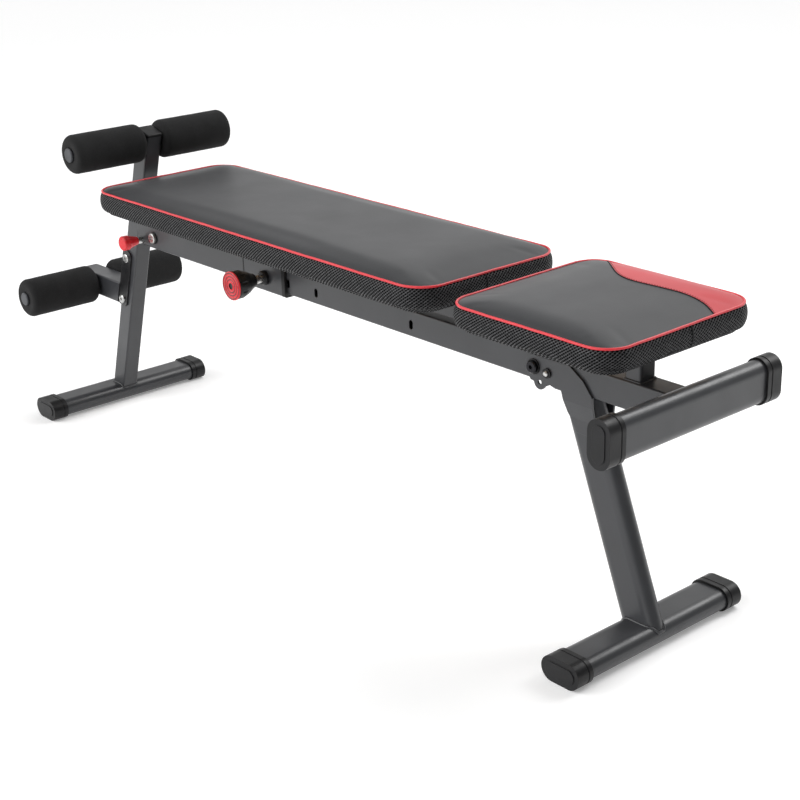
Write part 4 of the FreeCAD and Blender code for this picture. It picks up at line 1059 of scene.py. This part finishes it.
slots = {row["node"]: row["material_slot"] for row in frame["record"]["subparts"]}
own_looks = {"arm_channel": CHANNEL_PAINT, "adjuster_disc": RINGED_DISC, "pivot_bolts": PIVOT_STEEL}
for node_name, node in nodes.items():
    finish = own_looks.get(node_name, LOOKS[slots[node_name]])
    for material_slot in node.material_slots:
        material_slot.material = finish


# ---------------------------------------------------------------- floor, light and camera

REACH = 30
floor_corners = [(-REACH, -REACH, 0), (REACH, -REACH, 0), (REACH, REACH, 0), (-REACH, REACH, 0)]
floor = mesh_object("floor", floor_corners, [(0, 1, 2, 3)], [])
floor_look = Look("floor_white", (0.90, 0.90, 0.90), 0.9, Specular_IOR_Level=0.1, Emission_Strength=0.22)
floor_look.shader.inputs["Emission Color"].default_value = (1, 1, 1, 1)
floor.data.materials.append(floor_look.material)

world = bpy.data.worlds.new("studio")
world.use_nodes = True
sky = world.node_tree
sky_direction = sky.nodes.new("ShaderNodeTexCoord").outputs["Generated"]


def sky_lobe(direction, start, full, outside, inside):
    """A number for each direction of the sky: inside towards one direction, outside away from it."""
    towards = sky.nodes.new("ShaderNodeVectorMath")
    towards.operation = "DOT_PRODUCT"
    towards.inputs[1].default_value = direction
    lobe = sky.nodes.new("ShaderNodeMapRange")
    lobe.interpolation_type = "SMOOTHSTEP"
    set_range(lobe, start, full, outside, inside)
    sky.links.new(sky_direction, towards.inputs[0])
    sky.links.new(towards.outputs["Value"], lobe.inputs["Value"])
    return lobe.outputs["Result"]


# a glow from the near side, and shade toward the seat's end and over the head end
glow = sky_lobe((-0.30, -0.93, 0.20), 0.20, 1.0, 1.0, 2.6)
shades = (sky_lobe((0.97, -0.10, 0.22), 0.0, 0.85, 1.0, 0.12),
          sky_lobe((-0.71, 0.0, 0.71), 0.72, 0.97, 1.0, 0.35))
for shade in shades:
    product = sky.nodes.new("ShaderNodeMath")
    product.operation = "MULTIPLY"
    sky.links.new(glow, product.inputs[0])
    sky.links.new(shade, product.inputs[1])
    glow = product.outputs["Value"]
sky.links.new(glow, sky.nodes["Background"].inputs["Color"])
sky.nodes["Background"].inputs["Strength"].default_value = 1.0
bpy.context.scene.world = world
bpy.context.scene.view_settings.view_transform = "Standard"


def softbox(name, place, aim, size, power):
    """A soft rectangular lamp aimed at a point."""
    light = bpy.data.lights.new(name, "AREA")
    light.shape = "RECTANGLE"
    light.size, light.size_y = size
    light.energy = power
    made = bpy.data.objects.new(name, light)
    made.location = place
    made.rotation_mode = "QUATERNION"
    made.rotation_quaternion = (Vector(aim) - Vector(place)).to_track_quat("-Z", "Y")
    bpy.context.scene.collection.objects.link(made)


softbox("overhead", (0.9, 2.1, 2.9), (0, 0, 0.4), (1.3, 2.6), 62)
softbox("key", (-1.6, -3.0, 2.6), (0, 0, 0.4), (1.6, 1.6), 22)

# the photo's camera, fitted to the bench's straight edges
CAMERA_PLACE = Vector((1.8769, -1.4754, 1.0831))
AZIMUTH, PITCH, ROLL = math.radians(49.2), math.radians(21.07), math.radians(-1.44)
forward = Vector((-math.sin(AZIMUTH) * math.cos(PITCH), math.cos(AZIMUTH) * math.cos(PITCH),
                  -math.sin(PITCH)))
sideways = Vector((math.cos(AZIMUTH), math.sin(AZIMUTH), 0))
upright = sideways.cross(forward)
camera_x = sideways * math.cos(ROLL) + upright * math.sin(ROLL)
camera_y = -sideways * math.sin(ROLL) + upright * math.cos(ROLL)
camera_data = bpy.data.cameras.new("camera")
camera_data.sensor_width = 36
camera_data.lens = 71.84
camera = bpy.data.objects.new("camera", camera_data)
turned = Matrix((camera_x, camera_y, -forward)).transposed().to_4x4()
camera.matrix_world = Matrix.Translation(CAMERA_PLACE) @ turned
bpy.context.scene.collection.objects.link(camera)
bpy.context.scene.camera = camera
